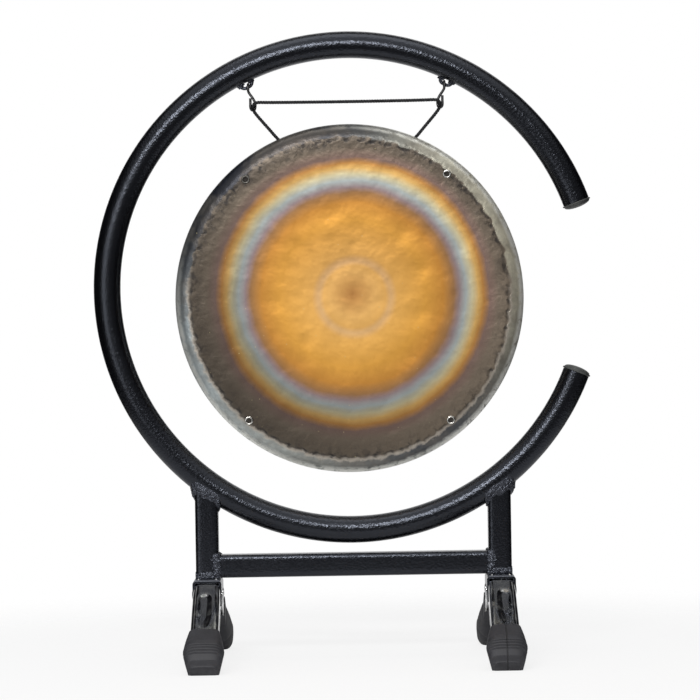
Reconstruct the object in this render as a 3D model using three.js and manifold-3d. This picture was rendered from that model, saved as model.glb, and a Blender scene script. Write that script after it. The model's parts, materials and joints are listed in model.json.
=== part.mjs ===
// Open-ring gong stand on four folding feet, with the gong hung in it.
// Millimetres. +X to the right, +Y to the back, +Z up, standing on z = 0.
import * as THREE from 'three';
import { mergeVertices } from 'three/addons/utils/BufferGeometryUtils.js';
import Module from 'manifold-3d';

const wasm = await Module();
wasm.setup();

// Ring: a round tube bent to an open C, with its mouth to the right
const ringRadius = 229;
const ringTube = 25.4;
const ringWall = 1.6;
const ringAboveBar = 8.9;
const upperMouthAngle = 19.7;
const lowerMouthAngle = 21.4;

// Domed plugs in the ring's two open ends
const plugLip = 0.9;
const plugFlange = 1.4;
const plugDome = 4;
const plugBarrel = 8;
const plugClearance = 1.1;

// Square tubes: two uprights and the cross bar between them
const squareTube = 22;
const squareWall = 1.5;
const squareCorner = 2.6;
const uprightSpacing = 276.6;
const crossBarLift = 1;

// Foot brackets: an inverted U of bent sheet under each upright
const bracketTop = 78;
const bracketWidth = 27.2;
const bracketSheet = 2.5;
const bracketDepth = 24;
const bracketLength = 50;
const bracketCorner = 3.4;

// Weld beads
const ringBead = 4;
const barBead = 2.4;
const bracketBead = 3;
const beadLumpShare = 0.12;

// Gaps between pieces
const seatGap = 0.1;
const weldGap = 0.1;
const swingGap = 0.5;

// Pressed channel legs
const legPivotSpacing = 26;
const legHubRadius = 11.2;
const legSheet = 1.6;
const legFlat = 2.8;
const legBendRadius = 24;
const legSlope = 28;
const legDepth = 13;
const legSideGap = 0.4;
const legCorner = 3;
const legSkirt = 5;
const legKneeWidth = 23.8;
const legMouthWidth = 24.4;
const legKneeReach = 40;
const legTuck = 22;

// Rubber feet on the legs' ends
const footMouthHeight = 36.3;
const footLength = 41.5;
const footWidth = 37.4;
const footDepth = 34.8;
const footTongue = 12;
const footTongueDrop = 2;
const footRoundness = 2.2;
const footMouthSquareness = 5;
const footNeckShare = 0.5;
const footClearance = 0.25;

// Pivot rivets of the legs
const rivetDiameter = 5;
const rivetHead = 9;
const rivetHeadHeight = 0.9;
const rivetClearance = 0.3;

// Hanger eyes: wire staples welded under the ring tube
const eyeAngle = 26;
const eyeWire = 3.2;
const eyeSpan = 10.8;
const eyeDrop = 5;
const eyeLump = 2.5;

// S-hooks of wire, their two crooks at right angles to each other
const hookWire = 2.5;
const hookUpperRadius = 3.2;
const hookLowerRadius = 2.95;
const hookLength = 21.5;
const hookInset = 4.2;
const hookTip = 8.4;
const hookBarb = 3;

// Gong
const gongDiameter = 330;
const gongWall = 1.4;
const gongDrop = 179.2;
const gongRimDepth = 30;
const gongRimTaper = 5;
const gongShoulderWidth = 16.5;
const gongShoulderDepth = 11;
const gongCrown = 1.6;
const gongHoleDepth = 13;
const gongHole = 4.6;
const gongHoleAngle = 23;
const gongLean = 2.37;

// Hollow rivets in the gong's shoulder, with their dark cores
const studInset = 15.6;
const studHead = 8.2;
const studHeadHeight = 1.1;
const studBore = 4.4;
const studShank = 5.6;
const studTail = 1.4;
const studClearance = 0.3;
const studCoreRecess = 0.7;
const studSides = 12;
const studAngles = { upper_right: 38.8, lower_right: 141, lower_left: 220.5, upper_left: 319.9 };

// Gong cord
const cordDiameter = 2.7;
const cordKnot = 7.4;
const cordKnotSquash = 0.86;
// Left half of the cord's route, from its hole in the gong's rim to the middle of the top stretch.
// x from the middle plane, y to the back, z up from the bottom of the hooks' lower crooks.
const cordHalfRoute = [
  [-63.9, 0, -28.65],
  [-67.4, 0.1, -25],
  [-73.2, 0.5, -18.2],
  [-79, 1.4, -11.5],
  [-84, 2.6, -5.6],
  [-87, 3.3, -1.6],
  [-88.35, 2.6, 1.5],
  [-88.45, 0.1, 2.95],
  [-88.2, -2.1, 4.4],
  [-86.2, -3.9, 6.7],
  [-82.8, -4.2, 7.3],
  [-76, -4.2, 7.2],
  [-60, -4.2, 7],
  [-40, -4.2, 6.9],
  [-20, -4.2, 6.8],
  [0, -4.2, 6.8],
];

// Numbers of facets
const ringSteps = 48;
const ringSides = 20;
const boreSides = 12;
const wireSides = 8;
const hookSteps = 30;
const eyeSteps = 12;
const cordSteps = 60;
const roundSides = 12;
const cornerSteps = 3;
const beadSteps = 16;
const beadSides = 6;
const beadLumps = 5;
const gongSides = 60;
const crownSteps = 3;
const shoulderSteps = 4;
const bendSteps = 4;
const hubSteps = 8;
const footSides = 16;
const domeSteps = 3;
const knotSides = 10;
const knotRings = 6;

// Lengths worked out from the sizes above
const overrun = 5;
const weldTolerance = 1e-4;
const ringBore = ringTube - 2 * ringWall;
const ringInside = ringRadius - ringTube / 2;
const barTop = bracketTop + crossBarLift + squareTube;
const ringCentreHeight = barTop + ringAboveBar + ringTube / 2 + ringRadius;
const uprightX = uprightSpacing / 2;
const pivotForward = legPivotSpacing / 2;
const pivotHeight = bracketTop - bracketSheet - swingGap - legHubRadius;
const legWidth = bracketWidth - 2 * bracketSheet - 2 * legSideGap;
const slope = THREE.MathUtils.degToRad(legSlope);
const eyeTurn = THREE.MathUtils.degToRad(eyeAngle);
const eyeReach = ringInside - eyeDrop;
const eyeX = eyeReach * Math.sin(eyeTurn);
const eyeHeight = ringCentreHeight + eyeReach * Math.cos(eyeTurn);
const crookX = eyeX - hookInset;
const crookHeight = eyeHeight - hookLength;
const gongRadius = gongDiameter / 2;
const studReach = gongRadius - studInset;

const hammered = { color: 0x26272a, roughness: 0.42, metalness: 0.6 };
const darkPlastic = { color: 0x3b3d3f, roughness: 0.5, metalness: 0 };
const darkWire = { color: 0x1d1d1e, roughness: 0.35, metalness: 0.7 };
const chrome = { color: 0xb9bcc0, roughness: 0.16, metalness: 1 };
const rubber = { color: 0x3f4042, roughness: 0.75, metalness: 0 };
const bronze = { color: 0xc4924a, roughness: 0.32, metalness: 1 };
const nickel = { color: 0xc9c9c6, roughness: 0.25, metalness: 1 };
const cordFabric = { color: 0x232324, roughness: 0.85, metalness: 0 };

const stand = new THREE.Group();

function addPiece(parent, name, geometry, finish) {
  const mesh = new THREE.Mesh(geometry, new THREE.MeshStandardMaterial(finish));
  mesh.name = name;
  parent.add(mesh);
  return mesh;
}

// Solids for joining and cutting

function toSolid(geometry) {
  const bare = geometry.clone();
  bare.deleteAttribute('normal');
  bare.deleteAttribute('uv');
  const merged = mergeVertices(bare, weldTolerance);
  const mesh = new wasm.Mesh({
    numProp: 3,
    vertProperties: new Float32Array(merged.attributes.position.array),
    triVerts: new Uint32Array(merged.index.array),
  });
  return new wasm.Manifold(mesh);
}

function toGeometry(solid) {
  const mesh = solid.getMesh();
  const geometry = new THREE.BufferGeometry();
  geometry.setAttribute('position', new THREE.BufferAttribute(new Float32Array(mesh.vertProperties), 3));
  geometry.setIndex(new THREE.BufferAttribute(new Uint32Array(mesh.triVerts), 1));
  geometry.computeVertexNormals();
  return geometry;
}

function cut(geometry, ...cutters) {
  let solid = toSolid(geometry);
  for (const cutter of cutters) {
    solid = solid.subtract(toSolid(cutter));
  }
  return toGeometry(solid);
}

// Shapes

class RingArc extends THREE.Curve {
  constructor(radius, startAngle, endAngle) {
    super();
    this.radius = radius;
    this.startAngle = startAngle;
    this.endAngle = endAngle;
  }

  getPoint(t, target = new THREE.Vector3()) {
    const angle = THREE.MathUtils.lerp(this.startAngle, this.endAngle, t);
    return target.set(this.radius * Math.cos(angle), 0, this.radius * Math.sin(angle));
  }
}

function roundedRectangle(width, height, corner) {
  const x = width / 2 - corner;
  const y = height / 2 - corner;
  const shape = new THREE.Shape();
  shape.absarc(x, y, corner, 0, Math.PI / 2);
  shape.absarc(-x, y, corner, Math.PI / 2, Math.PI);
  shape.absarc(-x, -y, corner, Math.PI, 1.5 * Math.PI);
  shape.absarc(x, -y, corner, 1.5 * Math.PI, 2 * Math.PI);
  return shape;
}

function disc(radius) {
  const shape = new THREE.Shape();
  shape.absarc(0, 0, radius, 0, 2 * Math.PI);
  return shape;
}

function prism(shape, depth, curveSegments = cornerSteps) {
  return new THREE.ExtrudeGeometry(shape, { depth, bevelEnabled: false, curveSegments });
}

function sweep(shape, path, steps, sides) {
  // A full circle has two sides for each curve segment
  const curveSegments = sides / 2;
  return new THREE.ExtrudeGeometry(shape, { steps, extrudePath: path, bevelEnabled: false, curveSegments });
}

function wire(points, diameter, steps, sides = wireSides) {
  const path = new THREE.CatmullRomCurve3(points, false, 'centripetal');
  return sweep(disc(diameter / 2), path, steps, sides);
}

function rodAlongX(diameter, length) {
  return new THREE.CylinderGeometry(diameter / 2, diameter / 2, length, roundSides).rotateZ(Math.PI / 2);
}

// Joins like rings of points into one skin. An open row of rings is closed by a fan at each end.
function loft(rings, endless) {
  const count = rings[0].length;
  const points = rings.flat();
  const indices = [];
  const spans = endless ? rings.length : rings.length - 1;
  for (let i = 0; i < spans; i += 1) {
    const near = i * count;
    const far = ((i + 1) % rings.length) * count;
    for (let j = 0; j < count; j += 1) {
      const next = (j + 1) % count;
      indices.push(near + j, near + next, far + next);
      indices.push(near + j, far + next, far + j);
    }
  }
  if (!endless) {
    const last = (rings.length - 1) * count;
    const nearHub = points.push(ringCentre(rings[0])) - 1;
    const farHub = points.push(ringCentre(rings[rings.length - 1])) - 1;
    for (let j = 0; j < count; j += 1) {
      const next = (j + 1) % count;
      indices.push(nearHub, next, j);
      indices.push(farHub, last + j, last + next);
    }
  }
  const geometry = new THREE.BufferGeometry().setFromPoints(points);
  geometry.setIndex(indices);
  geometry.computeVertexNormals();
  return geometry;
}

function ringCentre(ring) {
  const sum = new THREE.Vector3();
  for (const point of ring) {
    sum.add(point);
  }
  return sum.divideScalar(ring.length);
}

// Ring tube and its end plugs

function ringSweep(diameter, sides, startAngle, endAngle, boreDiameter = 0) {
  const section = disc(diameter / 2);
  if (boreDiameter > 0) {
    section.holes.push(new THREE.Path(disc(boreDiameter / 2).getPoints(boreSides / 2)));
  }
  const path = new RingArc(ringRadius, startAngle, endAngle);
  return sweep(section, path, ringSteps, sides).translate(0, 0, ringCentreHeight);
}

const upperEnd = THREE.MathUtils.degToRad(upperMouthAngle);
const lowerEnd = 2 * Math.PI - THREE.MathUtils.degToRad(lowerMouthAngle);
addPiece(stand, 'ring_tube', ringSweep(ringTube, ringSides, upperEnd, lowerEnd, ringBore), hammered);

// The ring as a plain bar, a weld gap larger, for coping what is welded to it
const ringCutter = ringSweep(ringTube + 2 * weldGap, ringSides, upperEnd, lowerEnd);

function plugGeometry() {
  const lipRadius = ringTube / 2 + plugLip;
  const barrelRadius = ringBore / 2 - plugClearance;
  const points = [
    new THREE.Vector2(0, -plugBarrel),
    new THREE.Vector2(barrelRadius, -plugBarrel),
    new THREE.Vector2(barrelRadius, seatGap),
    new THREE.Vector2(lipRadius, seatGap),
  ];
  for (let i = 0; i <= domeSteps; i += 1) {
    const angle = (i / domeSteps) * (Math.PI / 2);
    const radius = i === domeSteps ? 0 : lipRadius * Math.cos(angle);
    points.push(new THREE.Vector2(radius, seatGap + plugFlange + plugDome * Math.sin(angle)));
  }
  return new THREE.LatheGeometry(points, ringSides);
}

function addPlug(name, angle, turn) {
  const plug = addPiece(stand, name, plugGeometry(), darkPlastic);
  plug.position.set(ringRadius * Math.cos(angle), 0, ringCentreHeight + ringRadius * Math.sin(angle));
  const outward = new THREE.Vector3(-Math.sin(angle) * turn, 0, Math.cos(angle) * turn);
  plug.quaternion.setFromUnitVectors(new THREE.Vector3(0, 1, 0), outward);
}

addPlug('upper_end_plug', upperEnd, -1);
addPlug('lower_end_plug', lowerEnd, 1);

// Uprights and cross bar

function squareSection(hollow) {
  const section = roundedRectangle(squareTube, squareTube, squareCorner);
  if (hollow) {
    const bore = squareTube - 2 * squareWall;
    const inner = roundedRectangle(bore, bore, squareCorner - squareWall);
    section.holes.push(new THREE.Path(inner.getPoints(cornerSteps)));
  }
  return section;
}

const uprightFoot = bracketTop + seatGap;
const uprightHead = ringCentreHeight - Math.sqrt(ringRadius ** 2 - uprightX ** 2);

function uprightBlank(hollow) {
  return prism(squareSection(hollow), uprightHead - uprightFoot).translate(0, 0, uprightFoot);
}

function addUpright(name, side) {
  const blank = uprightBlank(true).translate(side * uprightX, 0, 0);
  addPiece(stand, name, cut(blank, ringCutter), hammered);
}

const barLength = uprightSpacing - squareTube - 2 * seatGap;
const barHeight = barTop - squareTube / 2;

function barBlank(hollow) {
  const bar = prism(squareSection(hollow), barLength).translate(0, 0, -barLength / 2);
  return bar.rotateY(Math.PI / 2).translate(0, 0, barHeight);
}

addUpright('left_upright', -1);
addUpright('right_upright', 1);
addPiece(stand, 'cross_bar', barBlank(true), hammered);

// Foot brackets

const bracketFoot = bracketTop - bracketDepth;

function bracketProfile() {
  const half = bracketWidth / 2;
  const inner = half - bracketSheet;
  const bend = bracketCorner - bracketSheet;
  const shape = new THREE.Shape();
  shape.moveTo(half, bracketFoot);
  shape.absarc(half - bracketCorner, bracketTop - bracketCorner, bracketCorner, 0, Math.PI / 2);
  shape.absarc(bracketCorner - half, bracketTop - bracketCorner, bracketCorner, Math.PI / 2, Math.PI);
  shape.lineTo(-half, bracketFoot);
  shape.lineTo(-inner, bracketFoot);
  shape.absarc(bracketCorner - half, bracketTop - bracketCorner, bend, Math.PI, Math.PI / 2, true);
  shape.absarc(half - bracketCorner, bracketTop - bracketCorner, bend, Math.PI / 2, 0, true);
  shape.lineTo(inner, bracketFoot);
  return shape;
}

function bracketBlank() {
  return prism(bracketProfile(), bracketLength).rotateX(Math.PI / 2).translate(0, bracketLength / 2, 0);
}

function rivetHoles(reach) {
  const hole = rodAlongX(rivetDiameter + 2 * rivetClearance, reach);
  const front = hole.clone().translate(0, -pivotForward, pivotHeight);
  const rear = hole.clone().translate(0, pivotForward, pivotHeight);
  return [front, rear];
}

function addBracket(name, side) {
  const bracket = cut(bracketBlank(), ...rivetHoles(bracketWidth + overrun));
  addPiece(stand, name, bracket, hammered).position.x = side * uprightX;
}

addBracket('left_foot_bracket', -1);
addBracket('right_foot_bracket', 1);

// Weld beads: a lumpy rope along a closed seam, trimmed by the pieces that it joins

function bead(seam, radius) {
  const centre = ringCentre(seam);
  const rings = seam.map((point, i) => {
    const before = seam[(i + seam.length - 1) % seam.length];
    const after = seam[(i + 1) % seam.length];
    const along = after.clone().sub(before).normalize();
    const across = point.clone().sub(centre).cross(along).normalize();
    const outward = along.clone().cross(across);
    const swell = 1 + beadLumpShare * Math.sin((2 * Math.PI * beadLumps * i) / seam.length);
    const ring = [];
    for (let j = 0; j < beadSides; j += 1) {
      const angle = (2 * Math.PI * j) / beadSides;
      const spoke = outward.clone().multiplyScalar(Math.cos(angle) * radius * swell);
      spoke.addScaledVector(across, -Math.sin(angle) * radius * swell);
      ring.push(point.clone().add(spoke));
    }
    return ring;
  });
  return loft(rings, true);
}

// Points round a square tube's outline, from 0 to beadSteps
function squareSeam(place) {
  const outline = roundedRectangle(squareTube, squareTube, squareCorner);
  const seam = [];
  for (let i = 0; i < beadSteps; i += 1) {
    const spot = outline.getPointAt(i / beadSteps);
    seam.push(place(spot.x, spot.y));
  }
  return seam;
}

// The square tubes and the bracket as plain bars, a weld gap larger, for trimming the beads

function filledUpright(side) {
  const size = squareTube + 2 * weldGap;
  const length = uprightHead - uprightFoot + 2 * squareTube;
  const core = prism(roundedRectangle(size, size, squareCorner), length);
  return core.translate(side * uprightX, 0, uprightFoot - squareTube);
}

function filledBar() {
  const size = squareTube + 2 * weldGap;
  const core = prism(roundedRectangle(size, size, squareCorner), uprightSpacing);
  return core.translate(0, 0, -uprightSpacing / 2).rotateY(Math.PI / 2).translate(0, 0, barHeight);
}

function filledBracket(side) {
  const size = bracketWidth + 2 * weldGap;
  const height = bracketTop + weldGap - bracketDepth;
  const core = prism(roundedRectangle(size, 2 * bracketDepth, bracketCorner), bracketLength);
  return core.rotateX(Math.PI / 2).translate(side * uprightX, bracketLength / 2, height);
}

// Height of the ring tube's outer underside over a point of the plan
function ringUnderside(x, y) {
  const outside = ringRadius + Math.sqrt((ringTube / 2) ** 2 - y ** 2);
  return ringCentreHeight - Math.sqrt(outside ** 2 - x ** 2);
}

for (const [word, side] of [['left', -1], ['right', 1]]) {
  const x = side * uprightX;
  const ringSeam = squareSeam((u, v) => new THREE.Vector3(x + u, v, ringUnderside(x + u, v)));
  const ringWeld = cut(bead(ringSeam, ringBead), ringCutter, filledUpright(side));
  addPiece(stand, `${word}_ring_weld`, ringWeld, hammered);
  const barEnd = side * (uprightX - squareTube / 2);
  const barSeam = squareSeam((u, v) => new THREE.Vector3(barEnd, u, barHeight + v));
  const neighbours = [filledBar(), filledUpright(side), filledBracket(side)];
  addPiece(stand, `${word}_bar_weld`, cut(bead(barSeam, barBead), ...neighbours), hammered);
  const footSeam = squareSeam((u, v) => new THREE.Vector3(x + u, v, bracketTop));
  const barRope = bead(barSeam, barBead + weldGap);
  const footWeld = cut(bead(footSeam, bracketBead), ...neighbours, barRope);
  addPiece(stand, `${word}_bracket_weld`, footWeld, hammered);
}

// Hanger eyes

function addEye(name, side) {
  const half = eyeSpan / 2;
  const bend = eyeSpan / 4;
  const head = eyeDrop + eyeWire;
  const points = [
    new THREE.Vector3(-half, 0, head),
    new THREE.Vector3(-half, 0, bend),
    new THREE.Vector3(-bend, 0, 0),
    new THREE.Vector3(0, 0, 0),
    new THREE.Vector3(bend, 0, 0),
    new THREE.Vector3(half, 0, bend),
    new THREE.Vector3(half, 0, head),
  ];
  let solid = toSolid(wire(points, eyeWire, eyeSteps));
  for (const end of [-half, half]) {
    const lump = new THREE.SphereGeometry(eyeLump, roundSides / 2, knotRings).translate(end, 0, eyeDrop);
    solid = solid.add(toSolid(lump));
  }
  const eye = toGeometry(solid);
  eye.rotateY(side * eyeTurn).translate(side * eyeX, 0, eyeHeight);
  addPiece(stand, name, cut(eye, ringCutter), hammered);
}

addEye('left_hanger_eye', -1);
addEye('right_hanger_eye', 1);

// S-hooks, drawn from the tip in the lower crook to the tip in the upper crook

function hookRoute() {
  const r = hookLowerRadius;
  const points = [new THREE.Vector3(-r, 0, r + hookTip), new THREE.Vector3(-r, 0, r + hookTip / 2)];
  for (let i = 0; i <= bendSteps; i += 1) {
    const angle = Math.PI + (Math.PI * i) / bendSteps;
    points.push(new THREE.Vector3(r * Math.cos(angle), 0, r + r * Math.sin(angle)));
  }
  const shankTop = hookLength - hookUpperRadius;
  const lean = -hookInset - r;
  points.push(new THREE.Vector3(r, 0, r + (shankTop - r) / 4));
  points.push(new THREE.Vector3(r + lean / 4, hookUpperRadius / 3, (r + shankTop) / 2));
  points.push(new THREE.Vector3(-hookInset, hookUpperRadius, shankTop));
  for (let i = 0; i <= bendSteps; i += 1) {
    const angle = (Math.PI * i) / bendSteps;
    const y = hookUpperRadius * Math.cos(angle);
    points.push(new THREE.Vector3(-hookInset, y, hookLength + hookUpperRadius * Math.sin(angle)));
  }
  points.push(new THREE.Vector3(-hookInset, -hookUpperRadius, hookLength - hookBarb));
  return points;
}

function addHook(name, side) {
  const points = hookRoute().map((point) => point.multiply(new THREE.Vector3(-side, 1, 1)));
  const hook = addPiece(stand, name, wire(points, hookWire, hookSteps), darkWire);
  hook.position.set(side * crookX, 0, crookHeight);
}

addHook('left_s_hook', -1);
addHook('right_s_hook', 1);

// Legs: side outlines are drawn as (distance outwards, height) and run across the leg's width

const bendStart = pivotForward + legFlat;
const bendEnd = new THREE.Vector2(
  bendStart + legBendRadius * Math.sin(slope),
  pivotHeight + legHubRadius - legBendRadius * (1 - Math.cos(slope)),
);
const mouthAlong = (bendEnd.y - footMouthHeight) / Math.sin(slope);

// A point at a distance down the leg's straight part and a height square to it
function onLeg(along, above) {
  const outward = bendEnd.x + along * Math.cos(slope) + above * Math.sin(slope);
  return new THREE.Vector2(outward, bendEnd.y - along * Math.sin(slope) + above * Math.cos(slope));
}

// The web's line from above the pivot to the end, raised or lowered by grow
function webLine(grow, end) {
  const points = [new THREE.Vector2(pivotForward, pivotHeight + legHubRadius + grow)];
  const centreHeight = pivotHeight + legHubRadius - legBendRadius;
  for (let i = 0; i <= bendSteps; i += 1) {
    const angle = (slope * i) / bendSteps;
    const radius = legBendRadius + grow;
    const outward = bendStart + radius * Math.sin(angle);
    points.push(new THREE.Vector2(outward, centreHeight + radius * Math.cos(angle)));
  }
  points.push(onLeg(end, grow));
  return points;
}

function acrossLeg(points, width) {
  const across = prism(new THREE.Shape(points), width).translate(0, 0, -width / 2);
  const turn = new THREE.Matrix4().makeBasis(
    new THREE.Vector3(0, -1, 0),
    new THREE.Vector3(0, 0, 1),
    new THREE.Vector3(-1, 0, 0),
  );
  return across.applyMatrix4(turn);
}

// The leg's width widens from the bracket to the rubber foot: distances outwards, each with its width
const legStations = [
  [-overrun - legHubRadius, legWidth],
  [pivotForward + legHubRadius + bracketSheet + legSideGap, legWidth],
  [legKneeReach, legKneeWidth],
  [onLeg(mouthAlong, 0).x, legMouthWidth],
  [onLeg(mouthAlong + footLength, 0).x, legMouthWidth],
];

function legWidthAt(outward) {
  const next = legStations.findIndex(([reach]) => reach >= outward);
  const [start, narrow] = legStations[next - 1];
  const [stop, wide] = legStations[next];
  return THREE.MathUtils.mapLinear(outward, start, stop, narrow, wide);
}

// Upright wall round the leg's plan
function legPlan(grow) {
  const rightSide = legStations.map(([outward, width]) => new THREE.Vector2(width / 2 + grow, -outward));
  const leftSide = legStations.map(([outward, width]) => new THREE.Vector2(-width / 2 - grow, -outward));
  const outline = new THREE.Shape([...leftSide, ...rightSide.reverse()]);
  const tall = bracketTop + 2 * overrun;
  return prism(outline, tall).translate(0, 0, -overrun);
}

// The web with its two rounded long edges and the top of each flange, larger all round by grow
function legRoof(grow, end) {
  const line = webLine(grow, end);
  const corner = legCorner + grow;
  const rings = line.map((point, i) => {
    const before = line[Math.max(i - 1, 0)];
    const after = line[Math.min(i + 1, line.length - 1)];
    const along = after.clone().sub(before).normalize();
    const half = legWidthAt(point.x) / 2 + grow;
    const outline = [[-half, -corner - legSkirt]];
    for (let j = 0; j <= cornerSteps; j += 1) {
      const angle = (j / cornerSteps) * (Math.PI / 2);
      outline.push([-half + corner * (1 - Math.cos(angle)), corner * (Math.sin(angle) - 1)]);
    }
    const mirrored = outline.map(([x, above]) => [-x, above]);
    return [...mirrored, ...outline.reverse()].map(
      ([x, above]) => new THREE.Vector3(x, -point.x + above * along.y, point.y + above * along.x),
    );
  });
  return loft(rings, false);
}

// The leg without its hollow, larger all round by grow
function legBody(grow) {
  const hub = legHubRadius + grow;
  const end = mouthAlong + legTuck + grow;
  const points = webLine(-legCorner, end);
  points.push(onLeg(end, -legDepth - grow));
  const startAngle = -Math.PI / 2 - slope;
  const endAngle = -1.5 * Math.PI;
  for (let i = 0; i < hubSteps; i += 1) {
    const angle = THREE.MathUtils.lerp(startAngle, endAngle, i / hubSteps);
    const outward = pivotForward + hub * Math.cos(angle);
    points.push(new THREE.Vector2(outward, pivotHeight + hub * Math.sin(angle)));
  }
  const flanges = toSolid(acrossLeg(points.reverse(), footWidth)).intersect(toSolid(legPlan(grow)));
  return flanges.add(toSolid(legRoof(grow, end)));
}

// The space under the web and between the flanges, smaller all round by shrink
function legHollow(shrink) {
  const end = mouthAlong + footLength;
  const points = webLine(-legSheet - shrink, end);
  const roof = pivotHeight + legHubRadius + overrun;
  points.unshift(new THREE.Vector2(pivotForward, roof));
  points.unshift(new THREE.Vector2(pivotForward - 2 * legHubRadius, roof));
  points.push(new THREE.Vector2(onLeg(end, 0).x, -overrun));
  points.push(new THREE.Vector2(pivotForward - 2 * legHubRadius, -overrun));
  return toSolid(acrossLeg(points.reverse(), footWidth)).intersect(toSolid(legPlan(-legSheet - shrink)));
}

function legGeometry() {
  const hole = rodAlongX(rivetDiameter + 2 * rivetClearance, bracketWidth);
  hole.translate(0, -pivotForward, pivotHeight);
  return toGeometry(legBody(0).subtract(legHollow(0)).subtract(toSolid(hole)));
}

// Rubber foot: sections square to the leg, as shares of its length, width and depth
const footSectionShares = [
  [0, 0.733, 0.075, -0.47],
  [0.072, 0.765, 0.083, -0.523],
  [0.217, 0.845, 0.103, -0.66],
  [0.361, 0.947, 0.12, -0.79],
  [0.506, 1, 0.124, -0.876],
  [0.651, 1, 0.086, -0.89],
  [0.795, 0.93, 0, -0.82],
  [0.916, 0.781, -0.12, -0.735],
  [1, 0.5, -0.285, -0.59],
];

function footSection([alongShare, widthShare, topShare, bottomShare]) {
  const along = mouthAlong + alongShare * footLength;
  const middle = ((topShare + bottomShare) / 2) * footDepth;
  const rise = ((topShare - bottomShare) / 2) * footDepth;
  const pastNeck = Math.min(alongShare / footNeckShare, 1);
  const roundness = THREE.MathUtils.lerp(footMouthSquareness, footRoundness, pastNeck);
  const ring = [];
  for (let i = 0; i < footSides; i += 1) {
    const angle = (2 * Math.PI * i) / footSides;
    const power = 2 / roundness;
    const c = Math.sign(Math.cos(angle)) * Math.abs(Math.cos(angle)) ** power;
    const s = Math.sign(Math.sin(angle)) * Math.abs(Math.sin(angle)) ** power;
    const spot = onLeg(along, middle + rise * s);
    ring.push(new THREE.Vector3((c * widthShare * footWidth) / 2, -spot.x, spot.y));
  }
  return ring;
}

function footTongueGeometry() {
  const width = legKneeWidth - 2 * legSheet - 2 * footClearance;
  const start = mouthAlong - footTongue;
  const points = [
    onLeg(start, -legSheet - footClearance),
    onLeg(mouthAlong + overrun, -legSheet - footClearance),
    onLeg(mouthAlong + overrun, -legDepth - footTongueDrop),
    onLeg(start + footTongueDrop, -legDepth - footTongueDrop),
    onLeg(start, -legDepth),
  ];
  return acrossLeg(points.reverse(), width);
}

function footGeometry() {
  let solid = toSolid(loft(footSectionShares.map(footSection), false)).add(toSolid(footTongueGeometry()));
  solid = solid.subtract(legBody(footClearance).subtract(legHollow(footClearance)));
  const ground = new THREE.BoxGeometry(2 * footWidth, 2 * uprightSpacing, 2 * footDepth);
  return toGeometry(solid.subtract(toSolid(ground.translate(0, 0, -footDepth))));
}

function rivetGeometry() {
  const length = bracketWidth + 2 * seatGap;
  const points = [new THREE.Vector2(0, -length / 2 - rivetHeadHeight)];
  points.push(new THREE.Vector2(rivetHead / 4, -length / 2 - rivetHeadHeight));
  points.push(new THREE.Vector2(rivetHead / 2, -length / 2));
  points.push(new THREE.Vector2(rivetDiameter / 2, -length / 2));
  const mirrored = points.map((point) => new THREE.Vector2(point.x, -point.y)).reverse();
  return new THREE.LatheGeometry([...points, ...mirrored], roundSides).rotateZ(Math.PI / 2);
}

const leg = legGeometry();
const foot = footGeometry();
for (const [end, turn] of [['front', 0], ['rear', Math.PI]]) {
  for (const [word, side] of [['left', -1], ['right', 1]]) {
    const corner = new THREE.Group();
    corner.position.x = side * uprightX;
    corner.rotation.z = turn;
    addPiece(corner, `${end}_${word}_leg`, leg, chrome);
    addPiece(corner, `${end}_${word}_rubber_foot`, foot, rubber);
    const rivet = addPiece(corner, `${end}_${word}_pivot_rivet`, rivetGeometry(), chrome);
    rivet.position.set(0, -pivotForward, pivotHeight);
    stand.add(corner);
  }
}

// Gong, its rivets and its cord, hanging from the bottom of the hooks' lower crooks

const hung = new THREE.Group();
hung.position.z = crookHeight;
hung.rotation.x = THREE.MathUtils.degToRad(gongLean);
stand.add(hung);

// Depth of the gong's outer face behind its front plane, with the wall taken off on the inside
const gongCrease = gongRadius - gongShoulderWidth;

function gongDepth(radius, wall) {
  if (radius <= gongCrease) {
    return wall + gongCrown * (radius / gongCrease) ** 2;
  }
  const share = (radius - gongCrease) / (gongShoulderWidth - wall);
  return gongCrown + wall + (gongShoulderDepth - wall) * (1 - Math.sqrt(Math.max(0, 1 - share ** 2)));
}

function gongOutline(wall) {
  const points = [];
  for (let i = 0; i < crownSteps; i += 1) {
    const radius = (i / crownSteps) * gongCrease;
    points.push(new THREE.Vector2(radius, gongDepth(radius, wall)));
  }
  for (let i = 0; i <= shoulderSteps; i += 1) {
    const angle = (i / shoulderSteps) * (Math.PI / 2);
    const radius = gongCrease + (gongShoulderWidth - wall) * Math.sin(angle);
    points.push(new THREE.Vector2(radius, gongDepth(radius, wall)));
  }
  points.push(new THREE.Vector2(gongRadius - gongRimTaper - wall, gongRimDepth));
  return points;
}

function gongGeometry() {
  const outline = [...gongOutline(0), ...gongOutline(gongWall).reverse()];
  const disc3d = new THREE.LatheGeometry(outline, gongSides);
  const cutters = [];
  for (const side of [-1, 1]) {
    const rimHole = new THREE.CylinderGeometry(gongHole / 2, gongHole / 2, gongShoulderWidth, roundSides);
    rimHole.translate(0, gongRadius, 0).rotateX(Math.PI / 2).translate(0, gongHoleDepth, 0);
    rimHole.rotateY(side * THREE.MathUtils.degToRad(gongHoleAngle));
    cutters.push(rimHole);
  }
  for (const angle of Object.values(studAngles)) {
    const bore = studShank + 2 * studClearance;
    const hole = new THREE.CylinderGeometry(bore / 2, bore / 2, gongRimDepth, roundSides);
    cutters.push(hole.translate(0, 0, studReach).rotateY(THREE.MathUtils.degToRad(angle)));
  }
  return cut(disc3d, ...cutters);
}

const gong = addPiece(hung, 'gong_disc', gongGeometry(), bronze);
gong.position.set(0, -gongHoleDepth, -gongDrop);

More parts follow.
